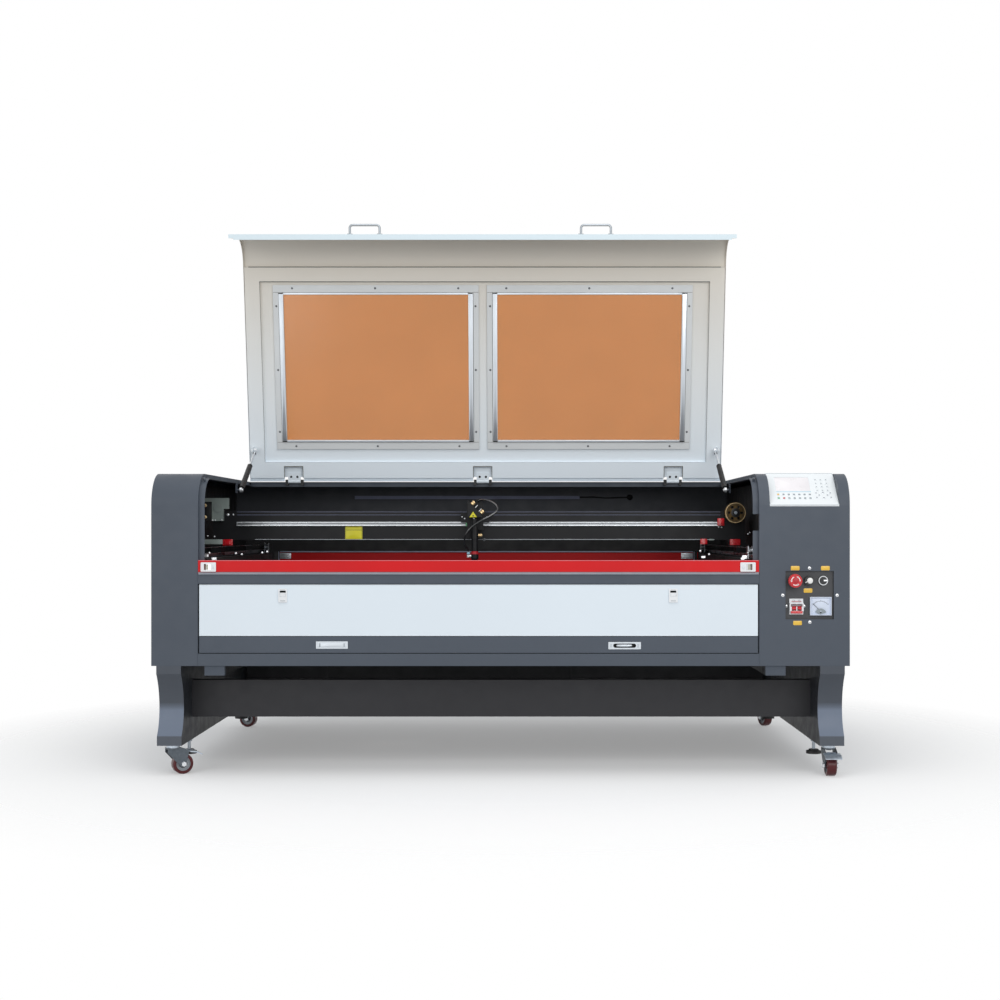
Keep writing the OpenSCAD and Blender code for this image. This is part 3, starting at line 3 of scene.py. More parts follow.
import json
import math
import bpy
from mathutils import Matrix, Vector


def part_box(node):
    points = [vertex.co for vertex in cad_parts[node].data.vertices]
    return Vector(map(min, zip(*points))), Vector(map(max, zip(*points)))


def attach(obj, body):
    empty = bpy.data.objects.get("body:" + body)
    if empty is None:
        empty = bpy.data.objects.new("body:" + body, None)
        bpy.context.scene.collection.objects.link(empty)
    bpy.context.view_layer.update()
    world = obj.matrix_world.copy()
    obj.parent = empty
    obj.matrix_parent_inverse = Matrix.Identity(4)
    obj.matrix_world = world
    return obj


bl_info = {
    "name": "Laser Engraving Machine",
    "version": (1, 0, 0),
    "blender": (4, 5, 0),
    "location": "3D View > Sidebar > Laser Machine",
    "description": "Finishes and small fittings of a gantry laser engraving machine, with its stage",
    "category": "Object",
}

import bmesh
import bpy
import numpy as np

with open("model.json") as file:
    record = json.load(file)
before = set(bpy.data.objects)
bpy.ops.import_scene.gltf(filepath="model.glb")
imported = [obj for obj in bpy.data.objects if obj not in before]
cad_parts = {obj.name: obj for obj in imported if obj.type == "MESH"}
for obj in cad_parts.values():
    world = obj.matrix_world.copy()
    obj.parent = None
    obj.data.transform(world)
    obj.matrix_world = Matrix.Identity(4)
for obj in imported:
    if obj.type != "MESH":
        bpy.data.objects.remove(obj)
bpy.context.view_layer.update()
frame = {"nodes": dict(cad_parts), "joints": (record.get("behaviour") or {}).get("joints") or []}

# forms and places are in millimetres, and build() turns them to metres
MM = 1000.0


def edges(node):
    """Lowest and highest corner of a node in millimetres."""
    lo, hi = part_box(node)
    return np.array(lo) * MM, np.array(hi) * MM


# planes and edges of the machine, taken from its own solids
FRONT = edges("left_housing")[0][1]
OPEN_L, OPEN_R = edges("front_frame")[0][0], edges("front_frame")[1][0]
TOP_Z = edges("rear_housing")[1][2]
BASE_Z = edges("side_stands")[1][2]
FLAP_TOP = edges("feed_flap")[1][2]
DOOR_LO, DOOR_HI = edges("front_door")
BEAM_FACE = edges("beam_rail")[1][1] - FRONT
LID = next(j for j in frame["joints"] if j["name"] == "lid_hinge")
HINGE = np.array(LID["pos_m"]) * MM
LID_OPEN = math.radians(79.5)
NOSE_R = 98.0

UPWARD, FORWARD, ACROSS, INWARD = (0, 0, 1), (0, -1, 0), (1, 0, 0), (0, 1, 0)


# ---- surfaces ----

def spin(profile, n=24):
    """Turned form: point (i, j) is profile point i, a radius and a height, turned by j/n of a turn about Z."""
    p = np.asarray(profile, float)
    a = np.linspace(0, 2 * np.pi, n, endpoint=False)
    ring = np.stack([np.cos(a), np.sin(a), np.zeros(n)], -1)
    return p[:, None, :1] * ring[None] + p[:, None, 1:2] * np.array([0, 0, 1.0])


def outline(w, h, corner, n=4):
    """Rounded rectangle: n + 1 points on each corner's quarter circle, round the four corners in turn."""
    corner = min(corner, w / 2 - 1e-4, h / 2 - 1e-4)
    a = (np.arange(4)[:, None] * 90 + np.linspace(0, 90, n + 1)[None]) * np.pi / 180
    sx = np.array([1, -1, -1, 1])[:, None]
    sy = np.array([1, 1, -1, -1])[:, None]
    x = sx * (w / 2 - corner) + corner * np.cos(a)
    y = sy * (h / 2 - corner) + corner * np.sin(a)
    return np.stack([x.ravel(), y.ravel()], -1)


def capped(p):
    """Closes a stack of rings with a point at the middle of its first and of its last ring."""
    first = np.repeat(p[:1].mean(1, keepdims=True), p.shape[1], 1)
    last = np.repeat(p[-1:].mean(1, keepdims=True), p.shape[1], 1)
    return np.concatenate([first, p, last])


def plate(w, h, t, corner=1.0, edge=0.3):
    """Flat plate: rounded rectangles stacked in height, the top one drawn in by the edge's softness."""
    levels = [(0, 0), (t - edge, 0), (t - edge * 0.3, edge * 0.3), (t, edge)]
    rings = []
    for z, inset in levels:
        o = outline(w - 2 * inset, h - 2 * inset, max(corner - inset, 0.05), 3)
        rings.append(np.c_[o, np.full(len(o), z)])
    return capped(np.array(rings))


def block(lo, hi, corner=0.8, edge=0.4):
    """Box between two corners, its upright edges rounded and its top edge softened."""
    lo, hi = np.array(lo, float), np.array(hi, float)
    w, d, h = hi - lo
    form = plate(w, d, h, min(corner, w / 3, d / 3), min(edge, h / 3))
    return form + [(lo[0] + hi[0]) / 2, (lo[1] + hi[1]) / 2, lo[2]]


def rim(w, h, hole_w, hole_h, t, corner=1.5, hole_corner=1.0, shift=(0, 0)):
    """Plate with a hole: the rounded outlines of both, at the foot and at the height t, closed into a loop."""
    o, i = outline(w, h, corner), outline(hole_w, hole_h, hole_corner) + np.array(shift)
    soft = outline(w - 0.8, h - 0.8, max(corner - 0.4, 0.1))
    rings = [(o, 0), (o, t - 0.4), (soft, t), (i, t), (i, 0), (o, 0)]
    return np.array([np.c_[p, np.full(len(p), z)] for p, z in rings])


def disc(r, t, edge=0.4):
    """Flat round cap of radius r and height t with a softened rim."""
    edge = min(edge, t / 2, r / 2)
    return capped(spin([(r, 0), (r, t - edge), (r - edge * 0.3, t - edge * 0.3), (r - edge, t)], 28))


def dome(r, h):
    """Dome: quarter ellipse of width r and height h, turned about Z."""
    a = np.linspace(0, np.pi / 2, 7)[:-1]
    return capped(spin(np.c_[r * np.cos(a), h * np.sin(a)], 20))


def annulus(r0, r1, t, start=0, stop=360):
    """Flat ring, or a part of one: a rectangle of the two radii and the height t, swept about Z."""
    n = max(int(abs(stop - start) / 6), 3)
    a = np.radians(np.linspace(start, stop, n + 1))
    section = np.array([(r0, 0), (r1, 0), (r1, t), (r0, t)])
    p = np.stack([section[:, 0] * np.cos(a)[:, None], section[:, 0] * np.sin(a)[:, None],
                  np.broadcast_to(section[:, 1], (n + 1, 4))], -1)
    return p if stop - start >= 360 else capped(p)


def collar(r0, r1, foot, shoulder, h, n=20):
    """Ring: it widens from r0 to r1 at the foot, narrows to r0 from the shoulder to its top, and has a bore of r0."""
    return spin([(r0, 0), (r1, foot), (r1, shoulder), (r0, h), (r0, 0)], n)


def prism(r, wall, top_r, h, sides=6):
    """Nut or wedge: a turned form of a few sides, upright to the wall's height and drawn in to its top."""
    return capped(spin([(r, 0), (r, wall), (top_r, h)], sides))


def smooth_path(points, n):
    """Catmull-Rom curve: n steps between each pair of points, each a cubic of the four points round it."""
    p = np.asarray(points, float)
    q = np.concatenate([p[:1], p, p[-1:]])
    t = (np.arange(n) / n)[None, :, None]
    a, b, c, d = (q[i:len(q) - 3 + i, None] for i in range(4))
    s = 0.5 * (2 * b + (c - a) * t + (2 * a - 5 * b + 4 * c - d) * t**2 + (3 * b - a - 3 * c + d) * t**3)
    return np.concatenate([s.reshape(-1, 3), p[-1:]])


def sweep(path, r, n=10, hint=(0.2, 1.0, 0.1)):
    """Round tube: circle of radius r, one value or one for each point and side, square to the path's tangent."""
    p = np.asarray(path, float)
    t = np.gradient(p, axis=0)
    t /= np.linalg.norm(t, axis=1, keepdims=True)
    u = np.cross(t, hint)
    u /= np.linalg.norm(u, axis=1, keepdims=True)
    v = np.cross(t, u)
    a = np.linspace(0, 2 * np.pi, n, endpoint=False)
    r = np.broadcast_to(np.asarray(r, float), (len(p), n))[..., None]
    ring = u[:, None] * np.cos(a)[None, :, None] + v[:, None] * np.sin(a)[None, :, None]
    return capped(p[:, None] + r * ring)


def rod(a, b, r, n=12):
    """Straight round bar from a point to another."""
    return sweep([a, np.add(a, b) / 2, b], r, n, (0.31, 0.17, 0.93))


# ---- places ----

def put(p, place, up=FORWARD, side=ACROSS):
    """Moves a form: its X lies along side, its Z along up, its origin at a place."""
    up, side = np.array(up, float), np.array(side, float)
    up /= np.linalg.norm(up)
    side = side - up * side.dot(up)
    side /= np.linalg.norm(side)
    return p[..., :1] * side + p[..., 1:2] * np.cross(up, side) + p[..., 2:3] * up + np.array(place, float)


def at_all(form, places):
    """The same form at each of the places, facing forward."""
    return [put(form, p) for p in places]


def at(x, depth, z):
    """Point given by its place across, its depth behind the front face and its height."""
    return np.array([x, FRONT + depth, z])


def on_lid(p):
    """Turns what is drawn for the closed lid about the hinge line to the lid as it stands open."""
    c, s = math.cos(LID_OPEN), math.sin(LID_OPEN)
    turn = np.array([[1, 0, 0], [0, c, -s], [0, s, c]])
    return p @ turn + np.array([0, HINGE[1], HINGE[2]])


SHARP_ANGLE = math.radians(35)


def build(name, body, finish, forms):
    """Puts grids, closed round their second index, into one mesh in metres, with doubles merged."""
    verts, faces, base = [], [], 0
    for p in forms:
        u, v = p.shape[:2]
        i, j = np.meshgrid(np.arange(u - 1), np.arange(v), indexing="ij")
        k = (j + 1) % v
        quad = np.stack([i * v + j, i * v + k, (i + 1) * v + k, (i + 1) * v + j], -1)
        faces.append(quad.reshape(-1, 4) + base)
        verts.append(p.reshape(-1, 3) / MM)
        base += u * v
    mesh = bpy.data.meshes.new(name)
    mesh.from_pydata(np.concatenate(verts), [], np.concatenate(faces))
    bm = bmesh.new()
    bm.from_mesh(mesh)
    bmesh.ops.remove_doubles(bm, verts=bm.verts, dist=1e-6)
    bmesh.ops.dissolve_degenerate(bm, edges=bm.edges, dist=1e-7)
    bmesh.ops.recalc_face_normals(bm, faces=bm.faces)
    bm.to_mesh(mesh)
    bm.free()
    mesh.shade_smooth()
    mesh.set_sharp_from_angle(angle=SHARP_ANGLE)
    obj = bpy.data.objects.new(name, mesh)
    bpy.context.scene.collection.objects.link(obj)
    mesh.materials.append(FINISH[finish])
    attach(obj, body)


# ---- finishes ----

def linear(code):
    """sRGB hex colour as linear light with full alpha."""
    c = np.array([int(code[i:i + 2], 16) for i in (1, 3, 5)]) / 255
    return (*(float(v) for v in np.where(c <= 0.04045, c / 12.92, ((c + 0.055) / 1.055) ** 2.4)), 1.0)


def shade(colour, factor):
    """A colour, as hex or as linear light, made lighter or darker by a factor."""
    light = linear(colour) if isinstance(colour, str) else colour
    return (*(min(1.0, v * factor) for v in light[:3]), 1.0)


def add(mat, kind, sockets=None, **settings):
    """Adds one node with its settings; a socket takes a value, or another node's output as a link."""
    node = mat.node_tree.nodes.new(kind)
    for key, value in settings.items():
        setattr(node, key, value)
    for key, value in (sockets or {}).items():
        if isinstance(value, bpy.types.NodeSocket):
            mat.node_tree.links.new(value, node.inputs[key])
        else:
            node.inputs[key].default_value = value
    return node


def pattern(mat, size_mm, detail=3.0, stretch=(1, 1, 1)):
    """Noise whose blotches are about size_mm wide, pulled long along the axes with a small stretch."""
    where = add(mat, "ShaderNodeTexCoord").outputs["Object"]
    scale = add(mat, "ShaderNodeVectorMath", {0: where, 1: stretch}, operation="MULTIPLY")
    return add(mat, "ShaderNodeTexNoise", {
        "Vector": scale.outputs[0], "Scale": MM / size_mm, "Detail": detail, "Roughness": 0.55,
    }).outputs["Fac"]


def ramp(mat, fac, low, high, a, b):
    """Maps a value between low and high onto the range from a to b."""
    return add(mat, "ShaderNodeMapRange", {
        "Value": fac, "From Min": low, "From Max": high, "To Min": a, "To Max": b,
    }).outputs["Result"]


def blend_colour(mat, fac, a, b):
    """Colour a where the factor is 0 and colour b where it is 1; a hex colour is turned to linear light."""
    mix = add(mat, "ShaderNodeMix", data_type="RGBA")
    for key, value in (("Factor", fac), ("A", a), ("B", b)):
        if isinstance(value, bpy.types.NodeSocket):
            mat.node_tree.links.new(value, mix.inputs[key])
        else:
            mix.inputs[key].default_value = linear(value) if isinstance(value, str) else value
    return mix.outputs["Result"]


def surface(name, colour, rough, cloud, grain, sockets=None, stretch=(1, 1, 1)):
    """A painted, plated or moulded surface.

    Its colour drifts by the cloud's share over the cloud's size, its roughness drifts with a finer noise,
    and a bump of the grain's size and height gives its texture. Sizes are millimetres.
    """
    mat = bpy.data.materials.new(name)
    mat.use_nodes = True
    mat.node_tree.nodes.clear()
    drift = ramp(mat, pattern(mat, cloud[0], 2.0, stretch), 0.3, 0.7, 0.0, 1.0)
    fine = pattern(mat, grain[0], 2.0, stretch)
    smudge = pattern(mat, SMUDGE, 4.0)
    bump = add(mat, "ShaderNodeBump", {"Height": fine, "Strength": 0.5, "Distance": grain[1] / MM})
    bsdf = add(mat, "ShaderNodeBsdfPrincipled", {
        "Base Color": blend_colour(mat, drift, shade(colour, 1 - cloud[1]), shade(colour, 1 + cloud[1])),
        "Roughness": ramp(mat, smudge, 0.35, 0.65, rough * 0.88, min(1.0, rough * 1.12)),
        "Normal": bump.outputs[0],
        **(sockets or {}),
    })
    add(mat, "ShaderNodeOutputMaterial", {"Surface": bsdf.outputs[0]})
    return mat


def feed(mat, name, value):
    """Links a value to the main shader's socket in place of what was there."""
    shader = next(n for n in mat.node_tree.nodes if n.type == "BSDF_PRINCIPLED")
    mat.node_tree.links.new(value, shader.inputs[name])


def level_mix(mat, level_mm, low, high, soft=0.2, axis="Z"):
    """Value low under a level along an axis and high above it, for a fitting whose coat changes there, or for painted
    light and shade that change there.
    """
    where = add(mat, "ShaderNodeTexCoord").outputs["Object"]
    part = add(mat, "ShaderNodeSeparateXYZ", {0: where}).outputs[axis]
    return ramp(mat, part, (level_mm - soft) / MM, (level_mm + soft) / MM, low, high)


def metal(share):
    """How much of the surface is bare metal: 1 for a clean one, less under a dull or cloudy skin."""
    return {"Metallic": share}


def matt(level):
    """A coat that reflects less than smooth plastic, because its skin is broken up."""
    return {"Specular IOR Level": level}


# hands and settled dust leave patches about 40 mm wide in every surface's gloss
SMUDGE = 40
SOOT, STAND_GREY, BODY_GREY = "#18191B", "#5B6573", "#474E58"

# each finish: colour, roughness, drift's size and share, grain's size and height, shader sockets, stretch
SURFACES = {
    # powder coat, baked: fine orange peel about 1.2 mm wide, which breaks the gloss into a satin
    "grey_powder_coat": (BODY_GREY, 0.50, (420, 0.04), (1.2, 0.05), matt(0.35)),
    "stand_powder_coat": (STAND_GREY, 0.50, (420, 0.04), (1.2, 0.05), matt(0.35)),
    "dark_powder_coat": ("#37383B", 0.50, (300, 0.05), (1.2, 0.05)),
    # the stretchers' coat is darker than the stands', as painted shade under the cabinet
    "stretcher_coat": ("#2B2B2E", 0.50, (300, 0.05), (1.2, 0.05), matt(0.3)),
    # the same coats on small folded parts with light and shade painted in: lighter where lit more than the panels
    # round them, a painted highlight, and a dark red of painted shade
    "grey_hinge": ("#8A9099", 0.45, (60, 0.05), (1.2, 0.03)),
    "dark_red_line": ("#8E1018", 0.50, (60, 0.05), (1.2, 0.03)),
    "red_highlight": ("#EE8088", 0.45, (60, 0.05), (1.6, 0.02)),
    # the same coat in black on the inner sheets, where soot and dust leave it dull, with painted light on the upper
    # back wall
    "black_powder_coat": (SOOT, 0.62, (160, 0.22), (1.4, 0.06)),
    "pan_coat": (SOOT, 0.60, (160, 0.1), (1.4, 0.06), matt(0.3)),
    # smooth red powder coat, glossier than the grey
    "red_powder_coat": ("#CC0A12", 0.45, (260, 0.05), (1.6, 0.03), matt(0.3)),
    # smooth white powder coat of the door and the lid: a cool white with soft drift
    "door_white_coat": ("#DCE5EC", 0.38, (500, 0.015), (1.6, 0.025)),
    "lid_white_coat": ("#E2E4E2", 0.42, (700, 0.025), (1.6, 0.025)),
    # bright zinc plate, faintly blue, with a cloudy crystal drift about 8 mm wide
    "zinc_plate": ("#B9C2CC", 0.30, (8, 0.16), (2.5, 0.03), metal(0.9)),
    # pressed forks: a darker zinc plate than the caster plates, satin
    "fork_zinc": ("#596067", 0.36, (8, 0.12), (2.5, 0.03), metal(0.6)),
    # zinc plate gone dull on the sheet-metal screws
    "dark_zinc": ("#64676A", 0.45, (10, 0.10), (2.0, 0.01), metal(0.3)),
    # stamped thumb pieces, whose plate has yellowed to a beige
    "beige_plate": ("#B3B2A2", 0.50, (30, 0.06), (0.7, 0.01)),
    # chrome plate: mirror smooth with faint handling smudges
    "chrome_plate": ("#D6D8DB", 0.10, (60, 0.03), (6, 0.005), metal(1.0)),
    # satin chrome of the bar handles, which shows darker than its surroundings
    "satin_chrome": ("#9DA3A9", 0.28, (60, 0.05), (6, 0.005), metal(0.7)),
    # bright nickel plate of screw heads and small fittings
    "bright_steel": ("#E2E5E8", 0.28, (60, 0.04), (2.0, 0.002), metal(0.6)),
    # ground steel of rails and pins: grinding lines across the length
    "ground_steel": ("#B9BDC2", 0.30, (200, 0.04), (0.6, 0.001), metal(1.0), (1, 6, 1)),
    # mill aluminium of the knife strips, drawn lengthwise, with scorch drift between the strips
    "drawn_aluminium": ("#8E9094", 0.40, (90, 0.20), (1.0, 0.03), metal(0.85), (1, 0.08, 1)),
    # clear anodised aluminium: satin etched, even grey, and paler where it is brushed before the bath
    "anodised_aluminium": ("#C4CAD0", 0.36, (200, 0.03), (0.5, 0.01), metal(0.75)),
    "trim_aluminium": ("#D3D6D7", 0.48, (200, 0.03), (0.5, 0.01), metal(0.15)),
    # black anodised aluminium of the beam and the head: near black, satin
    "black_anodised": ("#101114", 0.42, (200, 0.12), (0.5, 0.01), matt(0.25), (0.1, 1, 1)),
    # blue-black anodised lamp strip, duller than the beam, and a pale blue-grey for painted highlights on the rear
    # bar's edges
    "slate_anodised": ("#6A6F86", 0.50, (200, 0.08), (0.5, 0.01), metal(0.2), (0.1, 1, 1)),
    "pale_edge_highlight": ("#B9BED2", 0.45, (200, 0.08), (0.5, 0.01)),
    # die-cast zinc and aluminium: a dull grey with the soft drift of its mould
    "cast_hub": ("#8F9499", 0.45, (30, 0.08), (1.0, 0.03), metal(0.3)),
    "cast_grey": ("#8B9692", 0.45, (40, 0.06), (1.0, 0.03), metal(0.2)),
    # turned brass: warm yellow and fine turning lines, and a dark brown copy of it on the pulley, as painted shade
    "turned_brass": ("#E2C594", 0.30, (30, 0.10), (0.5, 0.01), metal(0.8)),
    "shaded_brass": ("#6A5636", 0.40, (30, 0.15), (0.5, 0.01), metal(0.9)),
    # moulded ABS: slight spark-eroded texture about 0.7 mm wide, glossier on the red switches
    "white_abs": ("#E4E6E8", 0.42, (200, 0.02), (0.7, 0.02), matt(0.5)),
    "black_abs": ("#17181A", 0.40, (120, 0.10), (0.7, 0.02), matt(0.5)),
    "red_abs": ("#C31722", 0.26, (120, 0.05), (0.7, 0.01), {"Coat Weight": 0.3}),
    "grey_abs": ("#55585C", 0.40, (80, 0.05), (0.7, 0.02)),
    "white_cap": ("#EDEDEA", 0.35, (80, 0.02), (0.7, 0.01)),
    "red_ring": ("#B3202A", 0.40, (60, 0.05), (0.7, 0.01)),
    # pale blue polycarbonate of the meter
    "meter_case": ("#D3DBEA", 0.35, (60, 0.02), (0.7, 0.01)),
    # extruded hose: glossy black skin that carries a thin highlight along its length
    "pvc_hose": ("#1B1C1F", 0.20, (60, 0.20), (3.0, 0.03), {"Coat Weight": 0.6}),
    # rubber-sheathed wire, matt black
    "black_cord": ("#070708", 0.60, (60, 0.10), (0.7, 0.01), matt(0.2)),
    # cast polyurethane tread: maroon, a soft gloss
    "cast_polyurethane": ("#4C0F14", 0.30, (40, 0.12), (1.2, 0.02), matt(0.4)),
    # rubber pad under a zinc stud, on one foot
    "rubber_and_zinc": ("#1B1B1C", 0.6, (30, 0.15), (1.0, 0.03)),
    # extruded acrylic sheet, tinted amber: smooth, lets light through, the tint drifts a little
    "amber_acrylic": ("#D7935A", 0.16, (180, 0.025), (30, 0.02), {"IOR": 1.49, "Transmission Weight": 0.72}),
    # borosilicate tube: clear with a green-grey edge
    "clear_glass": ("#DDE9E8", 0.05, (200, 0.02), (30, 0.01), {"IOR": 1.47, "Transmission Weight": 0.9}),
    # printed polyester film of the key plate, and the enamelled caution plate
    "pale_film": ("#E6EAEC", 0.32, (200, 0.015), (0.5, 0.008)),
    "yellow_plate": ("#D8D027", 0.40, (60, 0.05), (2, 0.01)),
    # ink lines, and shadow gaps: black and grey patches of painted shade in gaps, slots, grooves and recesses
    "shade_line": ("#7D7E7A", 0.60, (60, 0.10), (0.7, 0.01)),
    "black_ink_and_shade": ("#101113", 0.55, (60, 0.10), (0.7, 0.01)),
    "white_ink": ("#F0F0EE", 0.50, (60, 0.02), (0.7, 0.01)),
}
# films printed in one even colour under a thin gloss
FILMS = {"green_film": "#4F9E6A", "red_film": "#B9484A", "gold_film": "#D9B04A", "grey_film": "#8D969B",
         "screen_film": "#EAE6E8", "sky_film": "#9CCBDD", "dusk_film": "#5C6070"}
LABEL_YELLOW = "#E6B93F"


def paint_stand_light_and_shade(mat):
    """Bent sheet legs with light and shade painted in: painted light low on the front, where the floor's light falls,
    darker above the fold and on the sole, and painted shade on the inner side.
    """
    fold, sole = 208, 122
    facing = add(mat, "ShaderNodeSeparateXYZ", {0: add(mat, "ShaderNodeNewGeometry").outputs["Normal"]}).outputs
    place = add(mat, "ShaderNodeSeparateXYZ", {0: add(mat, "ShaderNodeTexCoord").outputs["Object"]}).outputs
    # painted shade: faces turned in towards the middle of the machine go near black
    inner_side_shade = add(mat, "ShaderNodeMath", {0: facing["X"], 1: place["X"]}, operation="MULTIPLY").outputs[0]
    # painted light: the front is lighter below the fold, and darker above it and on the sole
    front = blend_colour(mat, level_mix(mat, fold, 0.0, 1.0, 12), "#6C7686", "#464B53")
    front = blend_colour(mat, level_mix(mat, sole, 1.0, 0.0, 1.5), front, "#50555D")
    coat = blend_colour(mat, ramp(mat, facing["Y"], -0.8, -0.5, 1.0, 0.0), "#535C68", front)
    feed(mat, "Base Color", blend_colour(mat, ramp(mat, inner_side_shade, -0.6, -0.4, 1.0, 0.0), coat, "#202328"))


def coat_pan(mat):
    """Floor pan: body grey on its front flange, black beneath."""
    flange = level_mix(mat, FRONT + 20, 0.0, 1.0, 2, "Y")
    feed(mat, "Base Color", blend_colour(mat, flange, BODY_GREY, SOOT))


def paint_chamber_top_light(mat):
    """Inner sheets: painted light, a grey on the upper part of the back wall where light falls in through the open
    lid, and soot on the rest.
    """
    depth, height = level_mix(mat, 425, 0.0, 1.0, 15, "Y"), level_mix(mat, 780, 0.0, 1.0, 60)
    # painted light: the back wall turns grey above about 780 mm
    painted_top_light = add(mat, "ShaderNodeMath", {0: depth, 1: height}, operation="MULTIPLY")
    feed(mat, "Base Color", blend_colour(mat, painted_top_light.outputs[0], SOOT, "#43464C"))


def paint_lid_light(mat):
    """Lid: painted light, a warmer white high inside the nose and a cool white elsewhere, for the way light falls on
    the open lid.
    """
    nose_y, nose_z = -246, 1300
    # painted light: warm above nose_z and cool below it, and a cooler white where Y is below nose_y
    warm = blend_colour(mat, level_mix(mat, nose_z, 0.0, 1.0, 340), "#EAF3FA", "#E5DFD4")
    feed(mat, "Base Color", blend_colour(mat, level_mix(mat, nose_y, 1.0, 0.0, 4, "Y"), warm, "#DAE8EE"))


def coat_feet(mat):
    """Levelling foot: black rubber up to the pad's top, and zinc above it."""
    pad_top = 60.0
    feed(mat, "Base Color", blend_colour(mat, level_mix(mat, pad_top, 0.0, 1.0), "#1A1A1B", "#AEB6BE"))
    feed(mat, "Metallic", level_mix(mat, pad_top, 0.0, 0.9))


def make_finishes(settings):
    """All finishes by name."""
    rows = dict(SURFACES, yellow_film=(settings.label_colour, 0.35, (60, 0.03), (4, 0.01), {"Coat Weight": 0.2}))
    rows.update((name, (code, 0.30, (60, 0.03), (0.5, 0.008))) for name, code in FILMS.items())
    finish = {name: surface(name, *row) for name, row in rows.items()}
    paint_stand_light_and_shade(finish["stand_powder_coat"])
    coat_pan(finish["pan_coat"])
    paint_chamber_top_light(finish["black_powder_coat"])
    paint_lid_light(finish["lid_white_coat"])
    coat_feet(finish["rubber_and_zinc"])
    return finish


FINISH = {}

CORNERS = ("fl", "fr", "rl", "rr")

# which finish each solid takes
NODE_FINISH = {
    "grey_powder_coat": ["left_housing", "right_housing", "front_frame", "rear_housing", "waste_drawer", "side_door"],
    "stand_powder_coat": ["side_stands"],
    "black_powder_coat": ["work_chamber", "lid_hinge_pins", "strut_cylinder_left", "strut_cylinder_right"],
    "dark_powder_coat": ["control_plate"],
    "stretcher_coat": ["stretchers"],
    "pan_coat": ["base_pan"],
    "fork_zinc": ["caster_fork_" + corner for corner in CORNERS],
    "red_powder_coat": ["feed_flap", "rear_cross_bar"],
    "door_white_coat": ["front_door"],
    "lid_white_coat": ["lid_shell"],
    "zinc_plate": ["caster_plates", "caster_brake_fl", "caster_brake_fr", "service_fittings"],
    "chrome_plate": ["flap_latch_left", "flap_latch_right", "strut_rod_left", "strut_rod_right"],
    "ground_steel": ["y_guides", "beam_rail"],
    "satin_chrome": ["lid_handles"],
    "drawn_aluminium": ["slat_table"],
    "trim_aluminium": ["window_trims"],
    "cast_grey": ["second_mirror"],
    "slate_anodised": ["light_bar"],
    "black_anodised": ["gantry_beam", "carriage", "lens_tube"],
    # the pulley takes the dark copy of brass, as painted shade
    "shaded_brass": ["x_pulley"],
    "white_abs": ["breaker_body", "door_latch_left", "door_latch_right"],
    "black_abs": ["electronics", "current_knob", "key_barrel", "meter_needle"],
    "red_abs": ["estop_button", "breaker_toggle"],
    "pvc_hose": ["air_hose"],
    "meter_case": ["meter_housing"],
    "pale_film": ["keypad_panel"],
    "amber_acrylic": ["lid_windows"],
    "clear_glass": ["laser_tube"],
    "cast_polyurethane": ["caster_wheel_" + corner for corner in CORNERS],
    "rubber_and_zinc": ["levelling_feet"],
}


def paint_nodes():
    """Gives every solid of the frame its finish."""
    given = {node: name for name, nodes in NODE_FINISH.items() for node in nodes}
    for node, obj in frame["nodes"].items():
        for slot in obj.material_slots:
            slot.material = FINISH[given[node]]


# ---- controls ----

PLATE_LO = edges("control_plate")[0]
RECESS_X, RECESS_Z, RECESS_D = PLATE_LO[0] + 8, PLATE_LO[2] + 8, 8.0
ESTOP_X, KNOB_X, KEY_X, SWITCH_Z = RECESS_X + 26, RECESS_X + 70, RECESS_X + 114, RECESS_Z + 116
FILM = 0.15


def make_labels():
    """Blank vinyl stickers beside the controls, with rounded corners."""
    sticker = plate(26, 13, 0.3, 2.5, 0.1)
    places = [at(884, -0.02, 627.5), at(974.5, -0.02, 627.5), at(924, RECESS_D - 0.02, 560), at(891, -0.02, 463)]
    build("blank_labels", "machine", "yellow_film", at_all(sticker, places))


def make_panel_screws(settings):
    """Dome screws round the recess and beside the breaker, each with a driver's cross drawn in black as painted shade
    in its recess.
    """
    r = settings.screw_head * MM / 2
    outer = [at(927, 0, 627.5), at(847, 0, 546), at(1010, 0, 546), at(928, 0, 465.5)]
    inner = [at(859, RECESS_D, 513.5), at(912.7, RECESS_D, 513.5)]
    heads = at_all(dome(r, 2.6), outer) + at_all(dome(r * 0.85, 2.2), inner)
    build("panel_screws", "machine", "chrome_plate", heads)
    groove = plate(r * 0.9, 0.8, 0.3, 0.2, 0.1)
    crosses = [put(groove, p + [0, -2.5, 0], FORWARD, side)
               for p in outer + inner for side in ((1, 0, 0.4), (-0.4, 0, 1))]
    build("panel_screw_crosses", "machine", "black_ink_and_shade", crosses)


def make_estop_marks():
    """Turn arrows on the emergency stop: three arcs with heads round a sunken disc."""
    front = at(ESTOP_X, RECESS_D - 35, SWITCH_Z)
    arc, mid_r, high = 68, 12.7, 0.25
    forms = []
    for start in (-5, 115, 235):
        tip = math.radians(start + arc)
        c, s = math.cos(tip), math.sin(tip)
        head = put(capped(spin([(3.4, 0), (3.4, high)], 3)), (mid_r * c, mid_r * s, 0), UPWARD, (-s, c, 0))
        forms += [annulus(11.5, 14, high, start, start + arc), head]
    build("stop_button_arrows", "estop_button", "white_ink", [put(f, front) for f in forms])
    build("stop_button_disc", "estop_button", "red_ring", [put(disc(8.5, 0.3), front)])
    skirt = put(annulus(19.2, 20.6, 1.0), at(ESTOP_X, RECESS_D - 21, SWITCH_Z))
    build("stop_button_rim", "estop_button", "red_ring", [skirt])


